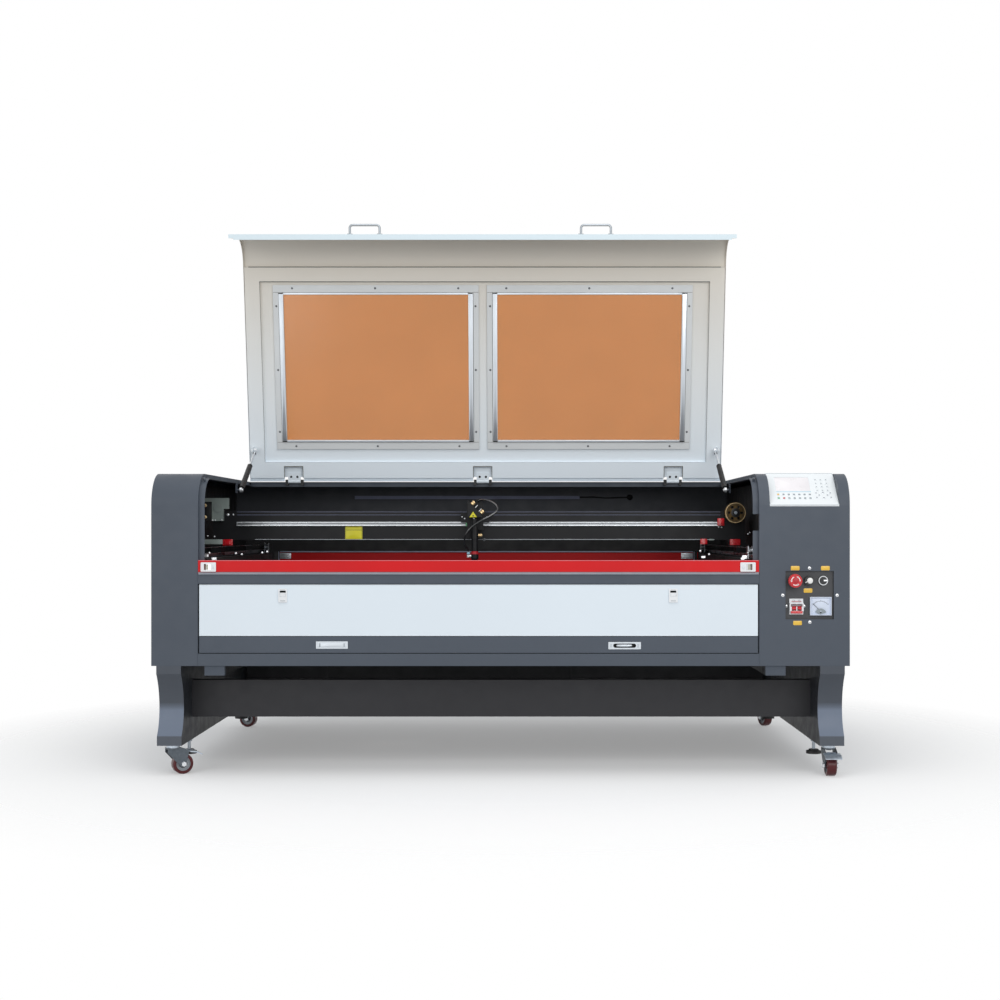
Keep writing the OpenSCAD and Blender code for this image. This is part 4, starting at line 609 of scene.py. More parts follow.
def make_knob_and_key():
    """White cap and pointer of the current knob, and the key switch's bright ring and bow."""
    knob = at(KNOB_X, RECESS_D - 15, SWITCH_Z)
    build("knob_cap", "current_knob", "white_cap", [put(dome(9, 3.2), knob + [2.5, 0, 0])])
    grips = [put(annulus(12.6, 14.1, 9, a, a + 14), knob + [0, 12, 0]) for a in range(0, 360, 30)]
    build("knob_grips", "current_knob", "black_abs", grips)
    pointer = put(block((-13, -1, 0), (-5, 1, 0.5)), knob, FORWARD, (0.9, 0, 0.42))
    build("knob_pointer", "current_knob", "white_ink", [pointer])
    build("key_ring", "machine", "chrome_plate", [put(annulus(11.6, 14.2, 0.5), at(KEY_X, RECESS_D - 5, SWITCH_Z))])
    bow = put(block((-1, -2.2, 0), (10, 2.2, 6)), at(KEY_X, RECESS_D - 9, SWITCH_Z))
    build("key_bow", "key_barrel", "chrome_plate", [bow])


def make_breaker_marks():
    """Breaker: red skirt below its two toggles, finger steps and blank contact marks."""
    x0, x1, z0 = RECESS_X + 12.6, RECESS_X + 53.4, RECESS_Z + 14
    mid, front = (x0 + x1) / 2, RECESS_D - 12
    y = FRONT + front
    skirt = block((x0 + 3, y - 1.2, z0 + 4), (x1 - 3, y + 7, z0 + 11.8))
    build("breaker_skirt", "machine", "red_abs", [skirt])
    ribs = [block((m - 1.6, y - 0.8, z0 + 11), (m + 1.6, y + 4, z0 + 24)) for m in (x0 + 4, mid, x1 - 4)]
    build("breaker_ribs", "machine", "white_abs", ribs)
    poles = (x0 + 12, x1 - 12)
    marks = at_all(annulus(2.2, 2.9, 0.12), [at(m, front + 3.9, z0 + 42) for m in poles])
    marks += at_all(plate(12, 0.9, 0.12), [at(m, front, z0 + 32.5) for m in poles])
    build("breaker_marks", "machine", "grey_film", marks)
    bar = put(plate(30, 1.5, 0.12), at(mid, front + 3.9, z0 + 39.5))
    build("breaker_mark_bar", "machine", "red_film", [bar])


def make_meter_face():
    """Meter: printed scale with its arc and ticks, and the fan-shaped cover over the movement."""
    scale_r, steps, every = 30, 21, 5
    card = put(plate(59, 50, 0.1), at(RECESS_X + 106, RECESS_D - 3.02, RECESS_Z + 39.5))
    pivot = at(RECESS_X + 106, RECESS_D - 3.1, RECESS_Z + 24)
    build("meter_card", "machine", "meter_case", [card])
    ticks = [put(annulus(29.4, 30.2, 0.1, 40, 140), pivot)]
    for i in range(steps):
        a = math.radians(42 + 4.8 * i)
        long, wide = (2.4, 0.5) if i % every else (4.5, 0.9)
        c, s = math.cos(a), math.sin(a)
        mid = scale_r + long / 2
        ticks.append(put(plate(long, wide, 0.1), pivot + [mid * c, 0, mid * s], FORWARD, (c, 0, s)))
    build("meter_scale", "machine", "black_ink_and_shade", ticks)
    fan = [put(annulus(r0, r1, t, 20, 160), pivot + [0, y, -9])
           for r0, r1, t, y in ((0.1, 17, 1.0, -2.6), (16, 17.2, 0.6, -3.4))]
    build("meter_cover", "machine", "grey_film", fan)
    build("meter_zero_screw", "machine", "black_abs", [put(dome(2.6, 1.2), pivot + [0, -3.6, -3.5])])


KEYPAD_LONG = NOSE_R * math.sqrt(2)
SLOPE = math.cos(math.radians(45))


def keypad_point(x, y, z=0.0):
    """Point on the sloping keypad: X along it, Y up its slope, Z out of it."""
    return np.array([OPEN_R + 32 + x, FRONT + (y - z) * SLOPE, TOP_Z - NOSE_R + (y + z) * SLOPE])


def on_keypad(form, x, y, z):
    """Form laid on the sloping keypad at a point of it."""
    return put(form, keypad_point(x, y, z), (0, -SLOPE, SLOPE))


def make_keypad_films():
    """Keypad: glossy screen in its frame, and a printed mark on every raised key."""
    build("keypad_screen", "machine", "screen_film", [on_keypad(plate(104, 60, 0.5, 2), 78, 91, 1.05)])
    build("keypad_screen_foot", "machine", "sky_film", [on_keypad(plate(106, 2.5, 0.2, 1), 78, 57, 2.02)])
    rows = [(26 + 15.9 * i, 24.5 + 16 * j) for j in (0, 1) for i in range(7)]
    pad = [(146 + 16 * i, 58.5 + 15.5 * j) for i in range(3) for j in range(4)]
    arrows = [(162, 26.5), (162, 48.5), (149.5, 38), (174.5, 38), (141, 28), (184, 28), (141, 47), (184, 47)]
    square, oval = plate(6.4, 6.4, FILM, 1.2), plate(4.2, 3.4, FILM, 1.2)
    tints = ["green", "red"] + ["grey"] * 5 + ["gold"] + ["grey"] * 18 + ["dusk"] * 8
    for tint in dict.fromkeys(tints):
        marks = [on_keypad(square if i < len(rows) else oval, x + 4, y + 4, 3.02)
                 for i, (x, y) in enumerate(rows + pad + arrows) if tints[i] == tint]
        build("keypad_marks_" + tint, "machine", tint + "_film", marks)
    loop = [keypad_point(104 + x, KEYPAD_LONG / 2 + y, 2.0) for x, y in outline(206, KEYPAD_LONG - 1, 6, 5)]
    edge = sweep([loop[-1], *loop, loop[0]], 0.5, 6, (0.1, 0.9, 0.3))
    build("keypad_edge_line", "machine", "grey_film", [edge])


# ---- front, flap, door and drawer ----

FLAP_LATCH_Z = 631
DOOR_LATCH_XS = (OPEN_L + 255, OPEN_R - 258)


def make_flap_trim():
    """Flap: bright frames round the two slide latches, ribs on their thumb pieces and the rolled top edge."""
    frames, ribs = [], []
    for x, s in ((OPEN_L + 32, -1), (OPEN_R - 34, 1)):
        frames.append(put(rim(46, 28, 19, 18, 1.4, 2.5, 1, (s * 3.5, 0)), at(x, -3, FLAP_LATCH_Z)))
        ribs += [put(block((x - s * d - 0.5, -6, 0), (x - s * d + 0.5, 6, 0.7)), at(0, -4.4, FLAP_LATCH_Z))
                 for d in (12, 14.5, 17)]
    build("flap_latch_frames", "feed_flap", "white_abs", frames)
    build("flap_latch_ribs", "feed_flap", "anodised_aluminium", ribs)
    slots = [block((x - 5, FRONT + 5.6, 619), (x + 5, FRONT + 6.6, 643), 1, 0.2) for x in (OPEN_L + 23, OPEN_R - 25)]
    build("flap_slot_plates", "feed_flap", "beige_plate", slots)
    for name, finish, inset, depth, drop, r, n in (("flap_rolled_edge", "red_powder_coat", 1, 0.9, 1.3, 1.4, 12),
                                                   ("flap_edge_glint", "red_highlight", 2, -0.4, 0.9, 0.8, 8)):
        ends = [at(x, depth, FLAP_TOP - drop) for x in (OPEN_L + inset, OPEN_R - inset)]
        build(name, "feed_flap", finish, [rod(*ends, r, n)])
    for side, x in (("left", OPEN_L + 28.6), ("right", OPEN_R - 30.6)):
        grip = put(plate(6.8, 16, 0.5, 0.5, 0.2), at(x, -1.9, FLAP_LATCH_Z))
        build("flap_thumb_grip_" + side, "flap_latch_" + side, "beige_plate", [grip])


def make_door_trim():
    """Door: frames and ribs of the slide latches, and its rolled edges."""
    (x0, _, z0), (x1, _, z1) = DOOR_LO, DOOR_HI
    frames = at_all(rim(27, 42, 18.4, 18.4, 1.3, 2.5, 1, (0, 5.5)), [at(x, -3, z0 + 121.5) for x in DOOR_LATCH_XS])
    lines = at_all(plate(15, 0.8, 0.5, 0.3, 0.2),
                   [at(x, -4.2, z0 + z) for x in DOOR_LATCH_XS for z in (104.5, 107, 138.5)])
    build("door_latch_frames", "front_door", "white_abs", frames)
    build("door_latch_lines", "front_door", "grey_film", lines)
    beads = [rod(at(x0 + 1, 0.9, z), at(x1 - 1, 0.9, z), 1.5) for z in (z1 - 1.5, z0 + 1.5)]
    beads += [rod(at(x, 0.9, z0 + 1.5), at(x, 0.9, z1 - 1.5), 1.4) for x in (x0 + 1.4, x1 - 1.4)]
    build("door_rolled_edges", "front_door", "door_white_coat", beads)


def make_drawer_pulls():
    """Drawer: a flush pull folded shut on the left, and one with its grip turned out on the right."""
    left, right = at(-505.8, 0, 396.7), at(372.3, 0, 395)
    plates = [put(rim(96, 22, 86, 13, 1.4, 1.5, 1), left),
              put(rim(98, 22, 68.5, 12.6, 1.4, 1.5, 6), right),
              put(plate(86, 13, 1.0, 1), left + [0, 0.6, 0])]
    build("pull_plates", "waste_drawer", "anodised_aluminium", plates)
    x = np.linspace(-24, 22, 9)
    grip_r = 5.6 * (1 - 0.4 * ((x + 1) / 24) ** 4)
    grip = sweep(np.c_[x, np.zeros(9), np.zeros(9)], grip_r[:, None], 14)
    build("pull_grip", "waste_drawer", "anodised_aluminium", [put(grip, right + [0, 6, 0], UPWARD)])
    backs = [put(rim(97, 21, 70, 13, 0.3, 1, 6), right + [0, 0.4, 0]), put(plate(70, 13, 0.5), right + [0, 12, 0])]
    build("pull_shadow", "waste_drawer", "black_ink_and_shade", backs)
    seams = [put(plate(1, 11, 0.3, 0.2, 0.1), pull + [d, -1.3, 0])
             for pull, ds in ((left, (-38, -35.5, 35.5, 38)), (right, (-42, -39, 39, 42))) for d in ds]
    build("pull_seams", "waste_drawer", "grey_film", seams)


def make_body_trim():
    """Body: rolled edges along the front opening, and the white tips of the lid's bumpers."""
    folds = [rod(at(x, -0.1, BASE_Z + 2), at(x, -0.1, FLAP_TOP), 0.8, 8) for x in (OPEN_L - 0.6, OPEN_R + 0.6)]
    folds.append(rod(at(OPEN_L, 0.3, DOOR_HI[2] + 3.2), at(OPEN_R, 0.3, DOOR_HI[2] + 3.2), 1.2))
    build("front_folds", "machine", "grey_powder_coat", folds)
    tip, r = math.radians(62), NOSE_R - 4.5
    c, s = math.cos(tip), math.sin(tip)
    tips = [put(dome(3.6, 2.4), at(x, NOSE_R - r * c, TOP_Z - NOSE_R + r * s), (0, -c, s))
            for x in (OPEN_L + 8.5, OPEN_R - 8.5)]
    build("bumper_tips", "machine", "white_cap", tips)


# ---- lid, its windows, hinges and struts ----

# heights on the closed lid, measured down from the hinge line, and distances in front of it, which are negative
TRIM_FACE, PAN_FACE = -9.5, -14.5
PAN_TOP, FIELD_TOP, FIELD_LOW = -755.0, -705.0, -71.0
WINDOW_XS, (WINDOW_Y0, WINDOW_Y1) = ((-769.5, -123.5), (-22.5, 623.5)), (-660, -150)
HINGE_XS = (-749, -76, 603)
STRUT_TOP, STRUT_FOOT = (-116.0, -38.0), (530, 876)


def under_lid(form, x, y, z):
    """Form on the lid's inner face: drawn with its Z out of the face, at a distance y from the hinge line."""
    return on_lid(put(form, (x, y, z), (0, 0, -1)))


def lid_line(a, b, z, r):
    """Thin straight bead on the lid's inner face between two points across and in front of the hinge line."""
    return on_lid(rod((*a, z), (*b, z), r, 6))


def make_window_trim():
    """Window frames: raised ribs round the sheet, mitre seams, corner gaps and twelve screws for each frame."""
    y0, y1, face = WINDOW_Y0, WINDOW_Y1, TRIM_FACE
    rib_h, screw = 4.2, dome(3.8, 1.8)
    ribs, seams, gaps, screws = [], [], [], []
    for x0, x1 in WINDOW_XS:
        w, h = x1 - x0, y1 - y0
        for x, s in ((x0, -1), (x1, 1)):
            ribs.append(under_lid(plate(15.6, h + 6, rib_h, 1), x + s * 8.1, (y0 + y1) / 2, face))
            seams.append(lid_line((x + s * 16.8, y0 - 7), (x + s * 16.8, y1 + 7), face, 0.9))
            gaps += [under_lid(plate(15, 4, 4.5, 1), x + s * 8.1, y, face) for y in (y0 - 5, y1 + 5)]
            screws += [under_lid(screw, x + s * 25, y0 + share * h, face) for share in (0.078, 0.514, 0.943)]
            seams += [lid_line((x + s * 16, y), (x + s * 35, y), face, 0.7) for y in (y0 - 8, y1 + 8)]
        for y, t in ((y0, -1), (y1, 1)):
            ribs.append(under_lid(plate(w - 2, 6.6, rib_h, 1), (x0 + x1) / 2, y + t * 3.6, face))
            seams.append(lid_line((x0 - 3, y + t * 7.6), (x1 + 3, y + t * 7.6), face, 0.9))
            screws += [under_lid(screw, x0 + share * w, y + t * 22, face) for share in (0.049, 0.497, 0.946)]
    build("window_ribs", "lid", "anodised_aluminium", ribs)
    build("window_seams", "lid", "shade_line", seams)
    # the corner gaps are black plates of painted shade
    build("window_corner_gaps", "lid", "black_ink_and_shade", gaps)
    build("window_screws", "lid", "dark_zinc", screws)


def make_lid_lines():
    """Lid: shadow lines of its crease, of the sunken field and of the hinge leaves, with the leaves' screws."""
    lid_l, lid_r, leaf = OPEN_L + 3, OPEN_R - 3, 33
    field_l, field_r = lid_l + 55, lid_r - 55
    lines = [((lid_l + 18, PAN_TOP), (lid_r - 18, PAN_TOP), 1.6)]
    # the crease's ends are thin, so that they clear the two housings when the lid is shut
    lines += [((x, PAN_TOP), (x + 15, PAN_TOP), 0.4) for x in (lid_l + 3, lid_r - 18)]
    lines += [((field_l, FIELD_TOP), (field_r, FIELD_TOP), 1.3)]
    lines += [((x, FIELD_TOP), (x, FIELD_LOW), 0.7) for x in (field_l, field_r)]
    for x in HINGE_XS:
        lines += [((x - leaf, -56), (x + leaf, -56), 1.4)]
        lines += [((x + d, -56), (x + d, -16), 1.4) for d in (-leaf, leaf)]
    build("lid_lines", "lid", "shade_line", [lid_line(a, b, PAN_FACE, r) for a, b, r in lines])
    fold = lid_line((field_l, FIELD_LOW), (field_r, FIELD_LOW), PAN_FACE, 0.9)
    build("lid_bright_folds", "lid", "lid_white_coat", [fold])
    heads = [under_lid(dome(4.2, 2.0), x + d, -17, -5.4) for x in HINGE_XS for d in (-11, 11)]
    build("lid_leaf_screws", "lid", "black_ink_and_shade", heads)


def make_strut_ends():
    """Gas struts: bright sleeves round the eyes at both ends, and domed caps on the studs they turn on."""
    caps = []
    for side, x0, s in (("left", OPEN_L, 1), ("right", OPEN_R, -1)):
        upper = on_lid(np.array([[x0 + s * 30, *STRUT_TOP]]))[0]
        for end, node, c in (("upper", "rod", upper), ("lower", "cylinder", at(x0 + s * 30, *STRUT_FOOT))):
            sleeve = rod(c - [3.8, 0, 0], c + [3.8, 0, 0], 8.3, 24)
            build(f"strut_{end}_eye_{side}", f"strut_{node}_{side}", "bright_steel", [sleeve])
        nut = put(dome(8.0, 4.5), (x0 + s * 18.5, *STRUT_TOP), (-s, 0, 0), UPWARD)
        build(f"strut_stud_nut_{side}", "lid", "bright_steel", [on_lid(nut)])
        caps.append(put(dome(5.5, 3.0), at(x0 + s * 35, *STRUT_FOOT), (s, 0, 0), UPWARD))
    build("strut_stud_caps", "machine", "bright_steel", caps)


# ---- gantry, second mirror and ledges ----

BEAM_Z = 709.0
RAIL_L, RAIL_R = edges("beam_rail")[0][0], edges("beam_rail")[1][0]


def make_beam_trim():
    """Beam: painted highlights along the rail's edges and painted shade in its slot, seams of the extrusion and the
    blank yellow plate.
    """
    def along(depth, z, r, n=12, inset=4, inset_right=4):
        return rod(at(RAIL_L + inset, depth, z), at(RAIL_R - inset_right, depth, z), r, n)

    face = BEAM_FACE
    build("rail_edge_highlights", "gantry", "bright_steel", [along(face - 8.6, z, r) for z, r in ((756.6, 1.6), (767.6, 1.0))])
    build("rail_slot_shade", "gantry", "black_ink_and_shade", [along(face - 6.6, 762.8, 1.8)])
    build("beam_grooves", "gantry", "slate_anodised", [along(face - 0.3, z, 0.8, 6, 0, 0) for z in (802, 792)])
    build("beam_lower_edge", "gantry", "anodised_aluminium", [along(face - 0.4, BEAM_Z + 1.4, 1.0, 6, 60, 20)])
    centre = at(-495.5, face, 733)
    build("blank_plate", "gantry", "yellow_plate", [put(plate(57, 46, 0.8, 3, 0.3), centre)])
    lines = [put(rim(54, 43, 52.6, 41.6, FILM, 2.5, 2), centre + [0, -0.8, 0]),
             put(plate(53, 1.2, FILM, 0.3, 0.05), centre + [0, -0.8, 9])]
    build("blank_plate_lines", "gantry", "black_ink_and_shade", lines)


def make_mirror_trim():
    """Second mirror: a black plate of painted shade in the opening behind the brass adjusting knobs, their grooves,
    screws and the lock nut.
    """
    x, _, z = edges("second_mirror")[0]
    y = BEAM_FACE
    build("mirror_shade", "gantry", "black_ink_and_shade", [put(plate(24.6, 63, 0.5, 0.5, 0.2), at(x + 12.5, y - 12, z + 32))])
    knobs = at_all(disc(5.9, 3.6, 0.8), [at(x + 6, y - back, z + up) for up in (12.5, 51) for back in (38, 33.4)])
    build("mirror_knob_rims", "gantry", "turned_brass", knobs)
    small, large = dome(2.6, 1.6), dome(4.6, 1.6)
    heads = at_all(small, [at(x + dx, y - 17, z + dz) for dx, dz in ((27, 2.5), (35, 2.5), (57, 2.8))])
    heads += [put(large, at(x + 75, y, z + 20.7)), put(small, at(x + 93, y, z + 21))]
    build("mirror_screws", "gantry", "bright_steel", heads)
    build("mirror_seam", "gantry", "grey_film", [put(annulus(12.4, 13.2, 0.2), at(x + 46, y - 21, z + 42))])


def make_pulley_trim():
    """Pulley: dark hub with its nut, and the shaded grooves of the belt's track."""
    lo, hi = edges("x_pulley")
    front = np.array([(lo[0] + hi[0]) / 2, lo[1], (lo[2] + hi[2]) / 2])
    build("pulley_hub", "x_pulley", "black_abs", [put(disc(15, 1.6), front)])
    grooves = [put(annulus(r0, r1, 0.25), front + INWARD) for r0, r1 in ((29.2, 30.6), (24.6, 25.6))]
    build("pulley_grooves", "x_pulley", "black_ink_and_shade", grooves)
    build("pulley_rim", "x_pulley", "turned_brass", [put(annulus(30.9, 33.7, 0.3), front + INWARD)])
    build("pulley_nut", "x_pulley", "zinc_plate", [put(prism(6.2, 4, 5.4, 4.8), front + [0, -1.6, 0])])


def face_block(x0, x1, z0, z1, front, back, corner=2, edge=1):
    """Moulded block before the beam: it spans x and z, and its depths are counted forward from the beam's face."""
    y = FRONT + BEAM_FACE
    return block((x0, y - front, z0), (x1, y - back, z1), corner, edge)


def make_belt_blocks():
    """Red moulded stops on the rail's right end and under the beam's ends, and the belts' bright clamp plates."""
    stop = [face_block(712, 735, 757, 781, 22, 9, 3, 2), face_block(714.5, 732.5, 763, 775, 25, 22)]
    build("rail_stop", "gantry", "red_abs", stop)
    stops = [face_block(-931, -897.6, 691, 711, 6, 0.5), face_block(-925, -905, 695, 705, 9, 6),
             face_block(657, 680, 695, 712.8, 6, 0.5), face_block(755, 790, 692, 712, 6, 0.5, 4, 2)]
    build("belt_stops", "gantry", "red_abs", stops)
    clamps = [face_block(-1000, -931, 695, 711, 5, 0.5), face_block(686, 702, 708, 712, 2.4, 0.5, 1, 0.5)]
    build("clamp_plates", "gantry", "cast_grey", clamps)
    places = ((-981, 722), (-958, 720), (-915, 701), (718, 752), (728, 751), (772, 703), (816, 729), (822, 733))
    heads = at_all(dome(2.8, 1.6), [at(x, BEAM_FACE - 3, z) for x, z in places])
    build("clamp_screws", "gantry", "bright_steel", heads)


def make_ledge_fittings():
    """Ledges beside the table: bright tensioner blocks and their screws."""
    y = FRONT + 52
    sizes = ((-894, 664, 13, 8), (-871, 655, 16, 8), (741, 661, 18, 8), (738.5, 655, 20, 7), (615, 660, 13, 6))
    blocks = [block((x - w / 2, y, z - h / 2), (x + w / 2, y + 6, z + h / 2), 2, 1) for x, z, w, h in sizes]
    build("tension_blocks", "machine", "bright_steel", blocks)
    places = ((-886, 672), (-805, 671), (-787, 668), (-725, 673), (-710, 676), (606, 678), (633, 668), (752, 672))
    build("tension_screws", "machine", "bright_steel", at_all(dome(3.4, 2.4), [at(x, 58, z) for x, z in places]))


# ---- laser head and its hose ----

HEAD_X, HEAD_Y = -91.0, 430.0
TUBE_R = 10.5


def make_head_marks():
    """Head: blank warning triangle with a dot, brass knobs with dark grooves, shafts, screws and the green block."""
    face = HEAD_Y - 25
    flat = put(prism(15.2, 0.5, 14.6, 0.8, 3), (0, 0, 0), UPWARD, INWARD) * [0.93, 0.82, 1.0]
    build("head_triangle", "carriage", "yellow_plate", [put(flat, at(HEAD_X - 4.7, face, 790))])
    build("head_triangle_dot", "carriage", "black_ink_and_shade", [put(disc(2.4, 0.2), at(HEAD_X - 4.7, face - 0.8, 788.5))])
    slope = np.array([1, 0, 1]) / math.sqrt(2)

    def on_slope(form, dx, dz, up):
        return put(form, at(HEAD_X + dx, HEAD_Y - 12, 784 + dz) + slope * up, slope, INWARD)

    knobs = [on_slope(disc(6.4, 5.5, 1.0), dx, dz, up) for dx, dz in ((-10, 41), (19.5, 11.5)) for up in (2, 8.5)]
    grooves = [on_slope(disc(4.4, 1.0), dx, dz, 7.5) for dx, dz in ((-10, 41), (19.5, 11.5))]
    build("head_knobs", "carriage", "turned_brass", knobs)
    build("head_knob_grooves", "carriage", "black_ink_and_shade", grooves)
    feet = [at(HEAD_X + dx, HEAD_Y - 12, 784 + dz) for dx, dz in ((1, 30), (13, 18))]
    build("head_shafts", "carriage", "bright_steel", [rod(p + slope * 1.5, p + slope * 13, 1.6) for p in feet])
    places = [at(x, BEAM_FACE - 27, z) for x, z in ((-133.7, 785), (-125.5, 779.5), (-61.6, 779.5), (-52, 785))]
    heads = at_all(dome(2.5, 1.6), places) + [put(dome(2.4, 1.6), at(-93.4, HEAD_Y - 12, 780))]
    build("head_screws", "carriage", "bright_steel", heads)
    build("head_green_block", "carriage", "green_film", [face_block(-122, -114, 755, 768, 26, 21.5, 1, 1)])
    screw = at(HEAD_X + 12, HEAD_Y - 9, BEAM_Z + 15)
    ribs = [put(disc(6.3, 2.0, 0.4), screw + [d, 0, 0], ACROSS, FORWARD) for d in (0.4, 3.6, 6.8, 10)]
    build("head_thumb_screw", "carriage", "turned_brass", ribs)
    stop = put(disc(5, 6, 1.2), at(HEAD_X + 30, BEAM_FACE - 3, BEAM_Z + 1))
    build("head_stop_screw", "carriage", "grey_abs", [stop])


def make_tube_rings():
    """Lens tube: red ring over the nozzle and the silver elbow with its pale collar on the air inlet."""
    ring = collar(TUBE_R + 0.15, TUBE_R + 1.1, 0.5, 9.5, 10, 32)
    build("tube_red_ring", "lens_tube", "red_ring", [put(ring, at(HEAD_X, HEAD_Y, 662), UPWARD)])
    foot = at(HEAD_X - 21, HEAD_Y, 652)
    elbow = [put(collar(4.1, 5.2, 0.6, 8, 9), foot, UPWARD),
             put(collar(3.1, 4.6, 0.8, 7.5, 8), foot + [1.8, 0, 4], ACROSS, FORWARD)]
    build("inlet_elbow", "lens_tube", "bright_steel", elbow)
    sleeve = put(collar(4.2, 5.4, 0.5, 6.5, 7), foot + [0, 0, 10.5], UPWARD)
    build("inlet_collar", "lens_tube", "sky_film", [sleeve])


# ---- rear bar, lamp wire, flap hinge and casters ----

KNUCKLES = 15
FLAP_PITCH = (OPEN_R - OPEN_L - 4) / KNUCKLES
LAMP_Z = 865


def make_rear_bar_ends():
    """Rear bar: chamfered silver blocks, dark end covers, and painted highlights along its upper edge and at its end
    covers.
    """
    y = FRONT + 1254
    ends = ((-865, -822), (674, 720))
    blocks = [block((x0, y, 632), (x1, y + 6, 654), 3, 2) for x0, x1 in ends]
    build("rear_bar_blocks", "machine", "anodised_aluminium", blocks)
    grooves = [block((x0 + 4, y - 0.6, z), (x1 - 8, y, z + 1.6), 0.3, 0.1)
               for x0, x1 in ends for z in (637, 642.5, 648)]
    build("rear_bar_grooves", "machine", "shade_line", grooves)
    covers = [block((x0, y + 1, 600), (x1, y + 5, 658.5), 1, 0.5) for x0, x1 in ((-908, -866), (721, 736))]
    build("rear_bar_covers", "machine", "black_powder_coat", covers)
    # painted highlights: pale lines on the covers' edges and along the bar's upper edge
    lines = [rod((x, y - 1, 604), (x, y - 1, 660), 1.6, 8) for x in (-869, 724)]
    lines.append(rod((-864, y + 1, 658.6), (720, y + 1, 658.6), 2.2, 8))
    build("rear_bar_edge_highlights", "machine", "pale_edge_highlight", lines)


def make_lamp_wire():
    """Wire of the lamp strip: a round cord along the back wall to its grommet."""
    wall, wire_r = 1149.8, 2.5
    route = ((276, 0), (330, 0.6), (380, -2.4), (430, -1), (468, 0))
    path = smooth_path([at(x, wall - 3, LAMP_Z + dz) for x, dz in route], 6)
    build("lamp_wire", "machine", "black_cord", [sweep(path, wire_r, 10, (0.1, 0.2, 1.0))])
    build("lamp_grommet", "machine", "black_cord", [put(dome(11, 7), at(470, wall, LAMP_Z))])


def make_flap_hinge():
    """Flap hinge: grey sleeves round the moving and the fixed knuckles, and the flap's lower folds; their lighter
    grey is a painted highlight and the dark red fold is painted shade.
    """
    axis_depth, axis_z, sleeve_r = -2, 610.5, 2.35

    def sleeve(a, b):
        return rod(at(a, axis_depth, axis_z), at(b, axis_depth, axis_z), sleeve_r, 16)

    def fixed(i):
        x = OPEN_L + 2 + FLAP_PITCH * i
        return max(x - FLAP_PITCH / 3, OPEN_L + 2), min(x + FLAP_PITCH / 3, OPEN_R - 2)

    moving = [sleeve(fixed(i)[1] + 0.3, fixed(i + 1)[0] - 0.3) for i in range(KNUCKLES)]
    build("flap_moving_sleeves", "feed_flap", "grey_hinge", moving)
    build("flap_fixed_sleeves", "machine", "grey_hinge", [sleeve(*fixed(i)) for i in range(KNUCKLES + 1)])
    # painted highlight in grey on the lowest fold, and painted shade in dark red just above it
    for name, finish, out, z0, z1 in (("flap_grey_fold", "grey_hinge", 0.5, 612.9, 615.2),
                                      ("flap_dark_fold", "dark_red_line", 0.55, 615.3, 617)):
        strip = block((OPEN_L + 1, FRONT - out, z0), (OPEN_R - 1, FRONT + 0.4, z1), 0.3, 0.2)
        build(name, "feed_flap", finish, [strip])


def make_caster_hubs():
    """Casters: a grey hub disc with its rim and bore on both sides of each wheel, and nuts on the axles."""
    # degrees that each caster stands turned about its stem
    for corner, turn in zip(CORNERS, (28, -90, -12, 112)):
        mid = sum(edges("caster_wheel_" + corner)) / 2
        a = math.radians(turn)
        axis = np.array([-math.sin(a), math.cos(a), 0])
        both = [axis * s for s in (-1, 1)]
        hubs = [put(annulus(r0, 21.5, t), mid, up, UPWARD) for up in both for r0, t in ((5.5, 9.4), (19.5, 13.2))]
        build("caster_hub_" + corner, "caster_wheel_" + corner, "cast_hub", hubs)
        bores = [put(annulus(11, 13, 9.8), mid, up, UPWARD) for up in both]
        build("caster_seams_" + corner, "caster_wheel_" + corner, "black_ink_and_shade", bores)
        nuts = [put(prism(8.2, 4.5, 7, 5.4), mid + up * 18.8, up, UPWARD) for up in both]
        build("caster_nuts_" + corner, "caster_fork_" + corner, "bright_steel", nuts)


# ---- stage ----

FLOOR_R, FLOOR_SIDES = 2600.0, 96
# metres from the front face, above the floor and to the right of the middle
CAMERA_DISTANCE, CAMERA_HEIGHT, CAMERA_X = 4.5, 0.742, 0.0665


def stage_material():
    """Pale matt floor that fades out away from the machine, so that it runs into the white surroundings."""
    mat = bpy.data.materials.new("pale_matt_floor")
    mat.use_nodes = True
    mat.node_tree.nodes.clear()
    where = add(mat, "ShaderNodeTexCoord").outputs["Object"]
    away = add(mat, "ShaderNodeVectorMath", {0: where}, operation="LENGTH").outputs["Value"]
    near, far, densest = 1.15, 2.1, 0.72
    fade = ramp(mat, away, near, far, densest, 0.0)
    floor = add(mat, "ShaderNodeBsdfDiffuse", {"Color": linear("#FFFFFF")})
    clear = add(mat, "ShaderNodeBsdfTransparent")
    mix = add(mat, "ShaderNodeMixShader", {0: fade, 1: clear.outputs[0], 2: floor.outputs[0]})
    add(mat, "ShaderNodeOutputMaterial", {"Surface": mix.outputs[0]})
    return mat


def stage_world(strength):
    """World that lights softly, and shows as white to the camera and in reflections and glass."""
    world = bpy.data.worlds.new("studio")
    bpy.context.scene.world = world
    world.use_nodes = True
    world.node_tree.nodes.clear()
    ray = add(world, "ShaderNodeLightPath").outputs
    seen = add(world, "ShaderNodeMath", {0: ray["Is Camera Ray"], 1: ray["Is Glossy Ray"]}, operation="MAXIMUM")
    seen = add(world, "ShaderNodeMath", {0: seen.outputs[0], 1: ray["Is Transmission Ray"]}, operation="MAXIMUM")
    soft = add(world, "ShaderNodeBackground", {"Color": linear("#F2F5F8"), "Strength": strength})
    white = add(world, "ShaderNodeBackground", {"Color": (1, 1, 1, 1), "Strength": 1.0})
    mix = add(world, "ShaderNodeMixShader", {0: seen.outputs[0], 1: soft.outputs[0], 2: white.outputs[0]})
    add(world, "ShaderNodeOutputWorld", {"Surface": mix.outputs[0]})


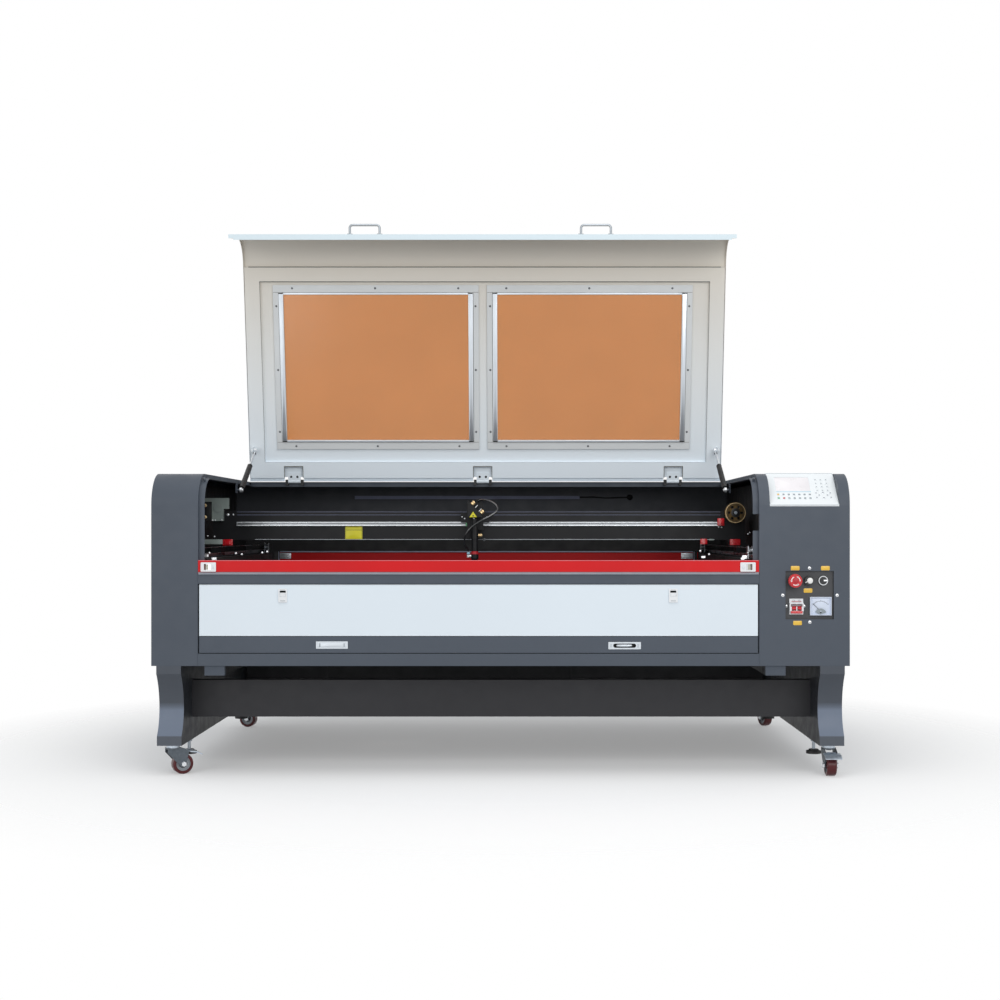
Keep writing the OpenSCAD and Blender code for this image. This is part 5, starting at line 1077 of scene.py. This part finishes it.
def link(name, data):
    """Object of the scene's collection that carries the data."""
    obj = bpy.data.objects.new(name, data)
    bpy.context.scene.collection.objects.link(obj)
    return obj


def lamp(name, place, size, power):
    """Square area lamp at a place, in metres, turned towards the middle of the machine."""
    data = bpy.data.lights.new(name, "AREA")
    data.shape, data.size, data.energy = "SQUARE", size, power
    obj = link(name, data)
    obj.location = place
    aim = np.array((0, 0, 0.8)) - np.array(place)
    obj.rotation_euler = (math.acos(-aim[2] / np.linalg.norm(aim)), 0, math.atan2(aim[1], aim[0]) - math.pi / 2)


def make_stage(settings):
    """Floor disc, world, lamps and the level camera that looks straight at the front."""
    n = FLOOR_SIDES
    ring = spin([(FLOOR_R, 0.0)], n)
    rings = np.concatenate([np.zeros((1, n, 3)), ring * 0.5, ring])
    quads = [[i * n + j, (i + 1) * n + j, (i + 1) * n + (j + 1) % n, i * n + (j + 1) % n]
             for i in (0, 1) for j in range(n)]
    mesh = bpy.data.meshes.new("floor")
    mesh.from_pydata(rings.reshape(-1, 3) / MM, [], quads)
    mesh.materials.append(stage_material())
    link("floor", mesh)
    stage_world(settings.world_light)
    lamp("key_lamp", (1.6, -4.2, 2.2), 2.6, settings.key_power)
    lamp("fill_lamp", (-2.4, -4.2, 1.4), 2.6, settings.fill_power)
    lamp("top_lamp", (0, -1.2, 3.6), 2.4, settings.top_power)
    data = bpy.data.cameras.new("camera")
    data.lens, data.sensor_width = 54.0, 36.0
    data.shift_x, data.shift_y = -0.0227, 0.030
    camera = link("camera", data)
    camera.location = (CAMERA_X, FRONT / MM - CAMERA_DISTANCE, CAMERA_HEIGHT)
    camera.rotation_euler = (math.radians(90), 0, 0)
    bpy.context.scene.camera = camera
    bpy.context.scene.view_settings.view_transform = "Standard"


# ---- add-on ----

class LaserMachineSettings(bpy.types.PropertyGroup):
    """Sizes and light levels that a user would change."""

    world_light: bpy.props.FloatProperty(
        name="World light", description="Strength of the soft light from all round", default=0.55, min=0.0, max=2.0)
    key_power: bpy.props.FloatProperty(
        name="Key lamp", description="Power of the lamp at the right front", default=60.0, min=0.0, unit="POWER")
    fill_power: bpy.props.FloatProperty(
        name="Fill lamp", description="Power of the lamp at the left front", default=30.0, min=0.0, unit="POWER")
    top_power: bpy.props.FloatProperty(
        name="Top lamp", description="Power of the lamp over the machine", default=35.0, min=0.0, unit="POWER")
    screw_head: bpy.props.FloatProperty(
        name="Screw head", description="Width of a dome screw's head on the control plate",
        default=0.011, min=0.006, max=0.014, unit="LENGTH")
    label_colour: bpy.props.FloatVectorProperty(
        name="Label colour", description="Colour of the blank vinyl labels", subtype="COLOR", size=4,
        default=linear(LABEL_YELLOW), min=0.0, max=1.0)


class LASER_OT_finishes(bpy.types.Operator):
    """Makes the finishes and gives every solid of the frame its own"""

    bl_idname = "laser.finishes"
    bl_label = "Finishes"

    def execute(self, context):
        FINISH.update(make_finishes(context.scene.laser_machine))
        paint_nodes()
        return {"FINISHED"}


class LASER_OT_labels(bpy.types.Operator):
    """Adds the blank vinyl labels beside the controls"""

    bl_idname = "laser.labels"
    bl_label = "Blank Labels"

    def execute(self, context):
        make_labels()
        return {"FINISHED"}


class LASER_OT_panel_screws(bpy.types.Operator):
    """Adds the dome screws round the control recess"""

    bl_idname = "laser.panel_screws"
    bl_label = "Panel Screws"

    def execute(self, context):
        make_panel_screws(context.scene.laser_machine)
        return {"FINISHED"}


class LASER_OT_stop_button(bpy.types.Operator):
    """Adds the arrows, disc and rim of the emergency stop"""

    bl_idname = "laser.stop_button"
    bl_label = "Stop Button"

    def execute(self, context):
        make_estop_marks()
        return {"FINISHED"}


class LASER_OT_knob_and_key(bpy.types.Operator):
    """Adds the knob's cap, grips and pointer, and the key switch's ring and bow"""

    bl_idname = "laser.knob_and_key"
    bl_label = "Knob and Key"

    def execute(self, context):
        make_knob_and_key()
        return {"FINISHED"}


class LASER_OT_breaker(bpy.types.Operator):
    """Adds the breaker's red skirt, ribs and blank marks"""

    bl_idname = "laser.breaker"
    bl_label = "Breaker"

    def execute(self, context):
        make_breaker_marks()
        return {"FINISHED"}


class LASER_OT_meter(bpy.types.Operator):
    """Adds the meter's card, scale and cover"""

    bl_idname = "laser.meter"
    bl_label = "Meter"

    def execute(self, context):
        make_meter_face()
        return {"FINISHED"}


class LASER_OT_keypad(bpy.types.Operator):
    """Adds the screen, the key marks and the edge line of the keypad"""

    bl_idname = "laser.keypad"
    bl_label = "Keypad"

    def execute(self, context):
        make_keypad_films()
        return {"FINISHED"}


class LASER_OT_flap(bpy.types.Operator):
    """Adds the latch frames, thumb grips and rolled edge of the feed flap"""

    bl_idname = "laser.flap"
    bl_label = "Flap"

    def execute(self, context):
        make_flap_trim()
        return {"FINISHED"}


class LASER_OT_door(bpy.types.Operator):
    """Adds the latch frames and the rolled edges of the front door"""

    bl_idname = "laser.door"
    bl_label = "Door"

    def execute(self, context):
        make_door_trim()
        return {"FINISHED"}


class LASER_OT_drawer_pulls(bpy.types.Operator):
    """Adds the two flush pulls of the waste drawer"""

    bl_idname = "laser.drawer_pulls"
    bl_label = "Drawer Pulls"

    def execute(self, context):
        make_drawer_pulls()
        return {"FINISHED"}


class LASER_OT_body_edges(bpy.types.Operator):
    """Adds the folds round the front opening and the bumpers' tips"""

    bl_idname = "laser.body_edges"
    bl_label = "Body Edges"

    def execute(self, context):
        make_body_trim()
        return {"FINISHED"}


class LASER_OT_beam(bpy.types.Operator):
    """Adds the rail's edges, the beam's grooves and the blank yellow plate"""

    bl_idname = "laser.beam"
    bl_label = "Beam"

    def execute(self, context):
        make_beam_trim()
        return {"FINISHED"}


class LASER_OT_mirror(bpy.types.Operator):
    """Adds the shade, knob rims, screws and seam of the second mirror"""

    bl_idname = "laser.mirror"
    bl_label = "Second Mirror"

    def execute(self, context):
        make_mirror_trim()
        return {"FINISHED"}


class LASER_OT_pulley(bpy.types.Operator):
    """Adds the hub, grooves and nut of the large pulley"""

    bl_idname = "laser.pulley"
    bl_label = "Pulley"

    def execute(self, context):
        make_pulley_trim()
        return {"FINISHED"}


class LASER_OT_belt_blocks(bpy.types.Operator):
    """Adds the red stops and the clamp plates of the belts"""

    bl_idname = "laser.belt_blocks"
    bl_label = "Belt Blocks"

    def execute(self, context):
        make_belt_blocks()
        return {"FINISHED"}


class LASER_OT_ledges(bpy.types.Operator):
    """Adds the tensioner blocks and screws on both ledges"""

    bl_idname = "laser.ledges"
    bl_label = "Ledges"

    def execute(self, context):
        make_ledge_fittings()
        return {"FINISHED"}


class LASER_OT_head(bpy.types.Operator):
    """Adds the head's blank triangle, knobs, shafts and screws"""

    bl_idname = "laser.head"
    bl_label = "Laser Head"

    def execute(self, context):
        make_head_marks()
        return {"FINISHED"}


class LASER_OT_lens_tube(bpy.types.Operator):
    """Adds the red ring, elbow and collar of the lens tube"""

    bl_idname = "laser.lens_tube"
    bl_label = "Lens Tube"

    def execute(self, context):
        make_tube_rings()
        return {"FINISHED"}


class LASER_OT_window_frames(bpy.types.Operator):
    """Adds the ribs, seams and screws of the lid's window frames"""

    bl_idname = "laser.window_frames"
    bl_label = "Window Frames"

    def execute(self, context):
        make_window_trim()
        return {"FINISHED"}


class LASER_OT_lid_lines(bpy.types.Operator):
    """Adds the shadow lines of the lid's folds and the screws of its hinge leaves"""

    bl_idname = "laser.lid_lines"
    bl_label = "Lid Lines"

    def execute(self, context):
        make_lid_lines()
        return {"FINISHED"}


class LASER_OT_strut_ends(bpy.types.Operator):
    """Adds the bright eyes, nuts and stud caps of the gas struts"""

    bl_idname = "laser.strut_ends"
    bl_label = "Strut Ends"

    def execute(self, context):
        make_strut_ends()
        return {"FINISHED"}


class LASER_OT_rear_bar(bpy.types.Operator):
    """Adds the silver blocks, covers and painted edge highlights of the rear bar"""

    bl_idname = "laser.rear_bar"
    bl_label = "Rear Bar Ends"

    def execute(self, context):
        make_rear_bar_ends()
        return {"FINISHED"}


class LASER_OT_lamp_wire(bpy.types.Operator):
    """Adds the lamp strip's wire and its grommet"""

    bl_idname = "laser.lamp_wire"
    bl_label = "Lamp Wire"

    def execute(self, context):
        make_lamp_wire()
        return {"FINISHED"}


class LASER_OT_flap_hinge(bpy.types.Operator):
    """Adds the sleeves of the flap's hinge and its lower folds"""

    bl_idname = "laser.flap_hinge"
    bl_label = "Flap Hinge"

    def execute(self, context):
        make_flap_hinge()
        return {"FINISHED"}


class LASER_OT_casters(bpy.types.Operator):
    """Adds the hubs, seams and axle nuts of the casters"""

    bl_idname = "laser.casters"
    bl_label = "Casters"

    def execute(self, context):
        make_caster_hubs()
        return {"FINISHED"}


class LASER_OT_stage(bpy.types.Operator):
    """Sets up the floor, the lamps, the world and the camera"""

    bl_idname = "laser.stage"
    bl_label = "Stage"

    def execute(self, context):
        make_stage(context.scene.laser_machine)
        return {"FINISHED"}


OPERATORS = [
    LASER_OT_finishes, LASER_OT_labels, LASER_OT_panel_screws, LASER_OT_stop_button, LASER_OT_knob_and_key,
    LASER_OT_breaker, LASER_OT_meter, LASER_OT_keypad, LASER_OT_flap, LASER_OT_door, LASER_OT_drawer_pulls,
    LASER_OT_body_edges, LASER_OT_beam, LASER_OT_mirror, LASER_OT_pulley, LASER_OT_belt_blocks,
    LASER_OT_ledges, LASER_OT_head, LASER_OT_lens_tube, LASER_OT_window_frames, LASER_OT_lid_lines,
    LASER_OT_strut_ends, LASER_OT_rear_bar, LASER_OT_lamp_wire, LASER_OT_flap_hinge, LASER_OT_casters,
    LASER_OT_stage,
]


class LASER_PT_panel(bpy.types.Panel):
    """Lists the settings and the operators in the order in which they run"""

    bl_label = "Laser Machine"
    bl_idname = "LASER_PT_panel"
    bl_space_type = "VIEW_3D"
    bl_region_type = "UI"
    bl_category = "Laser Machine"

    def draw(self, context):
        settings = context.scene.laser_machine
        for name in settings.bl_rna.properties.keys():
            if name not in ("rna_type", "name"):
                self.layout.prop(settings, name)
        for op in OPERATORS:
            self.layout.operator(op.bl_idname)


def register():
    for cls in (LaserMachineSettings, *OPERATORS, LASER_PT_panel):
        bpy.utils.register_class(cls)
    bpy.types.Scene.laser_machine = bpy.props.PointerProperty(type=LaserMachineSettings)


def unregister():
    del bpy.types.Scene.laser_machine
    for cls in reversed((LaserMachineSettings, *OPERATORS, LASER_PT_panel)):
        bpy.utils.unregister_class(cls)


def main():
    """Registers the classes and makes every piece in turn."""
    register()
    for op in OPERATORS:
        group, name = op.bl_idname.split(".")
        if getattr(getattr(bpy.ops, group), name)() != {"FINISHED"}:
            raise RuntimeError(f"{op.bl_idname} did not finish")


if __name__ == "__main__":
    main()
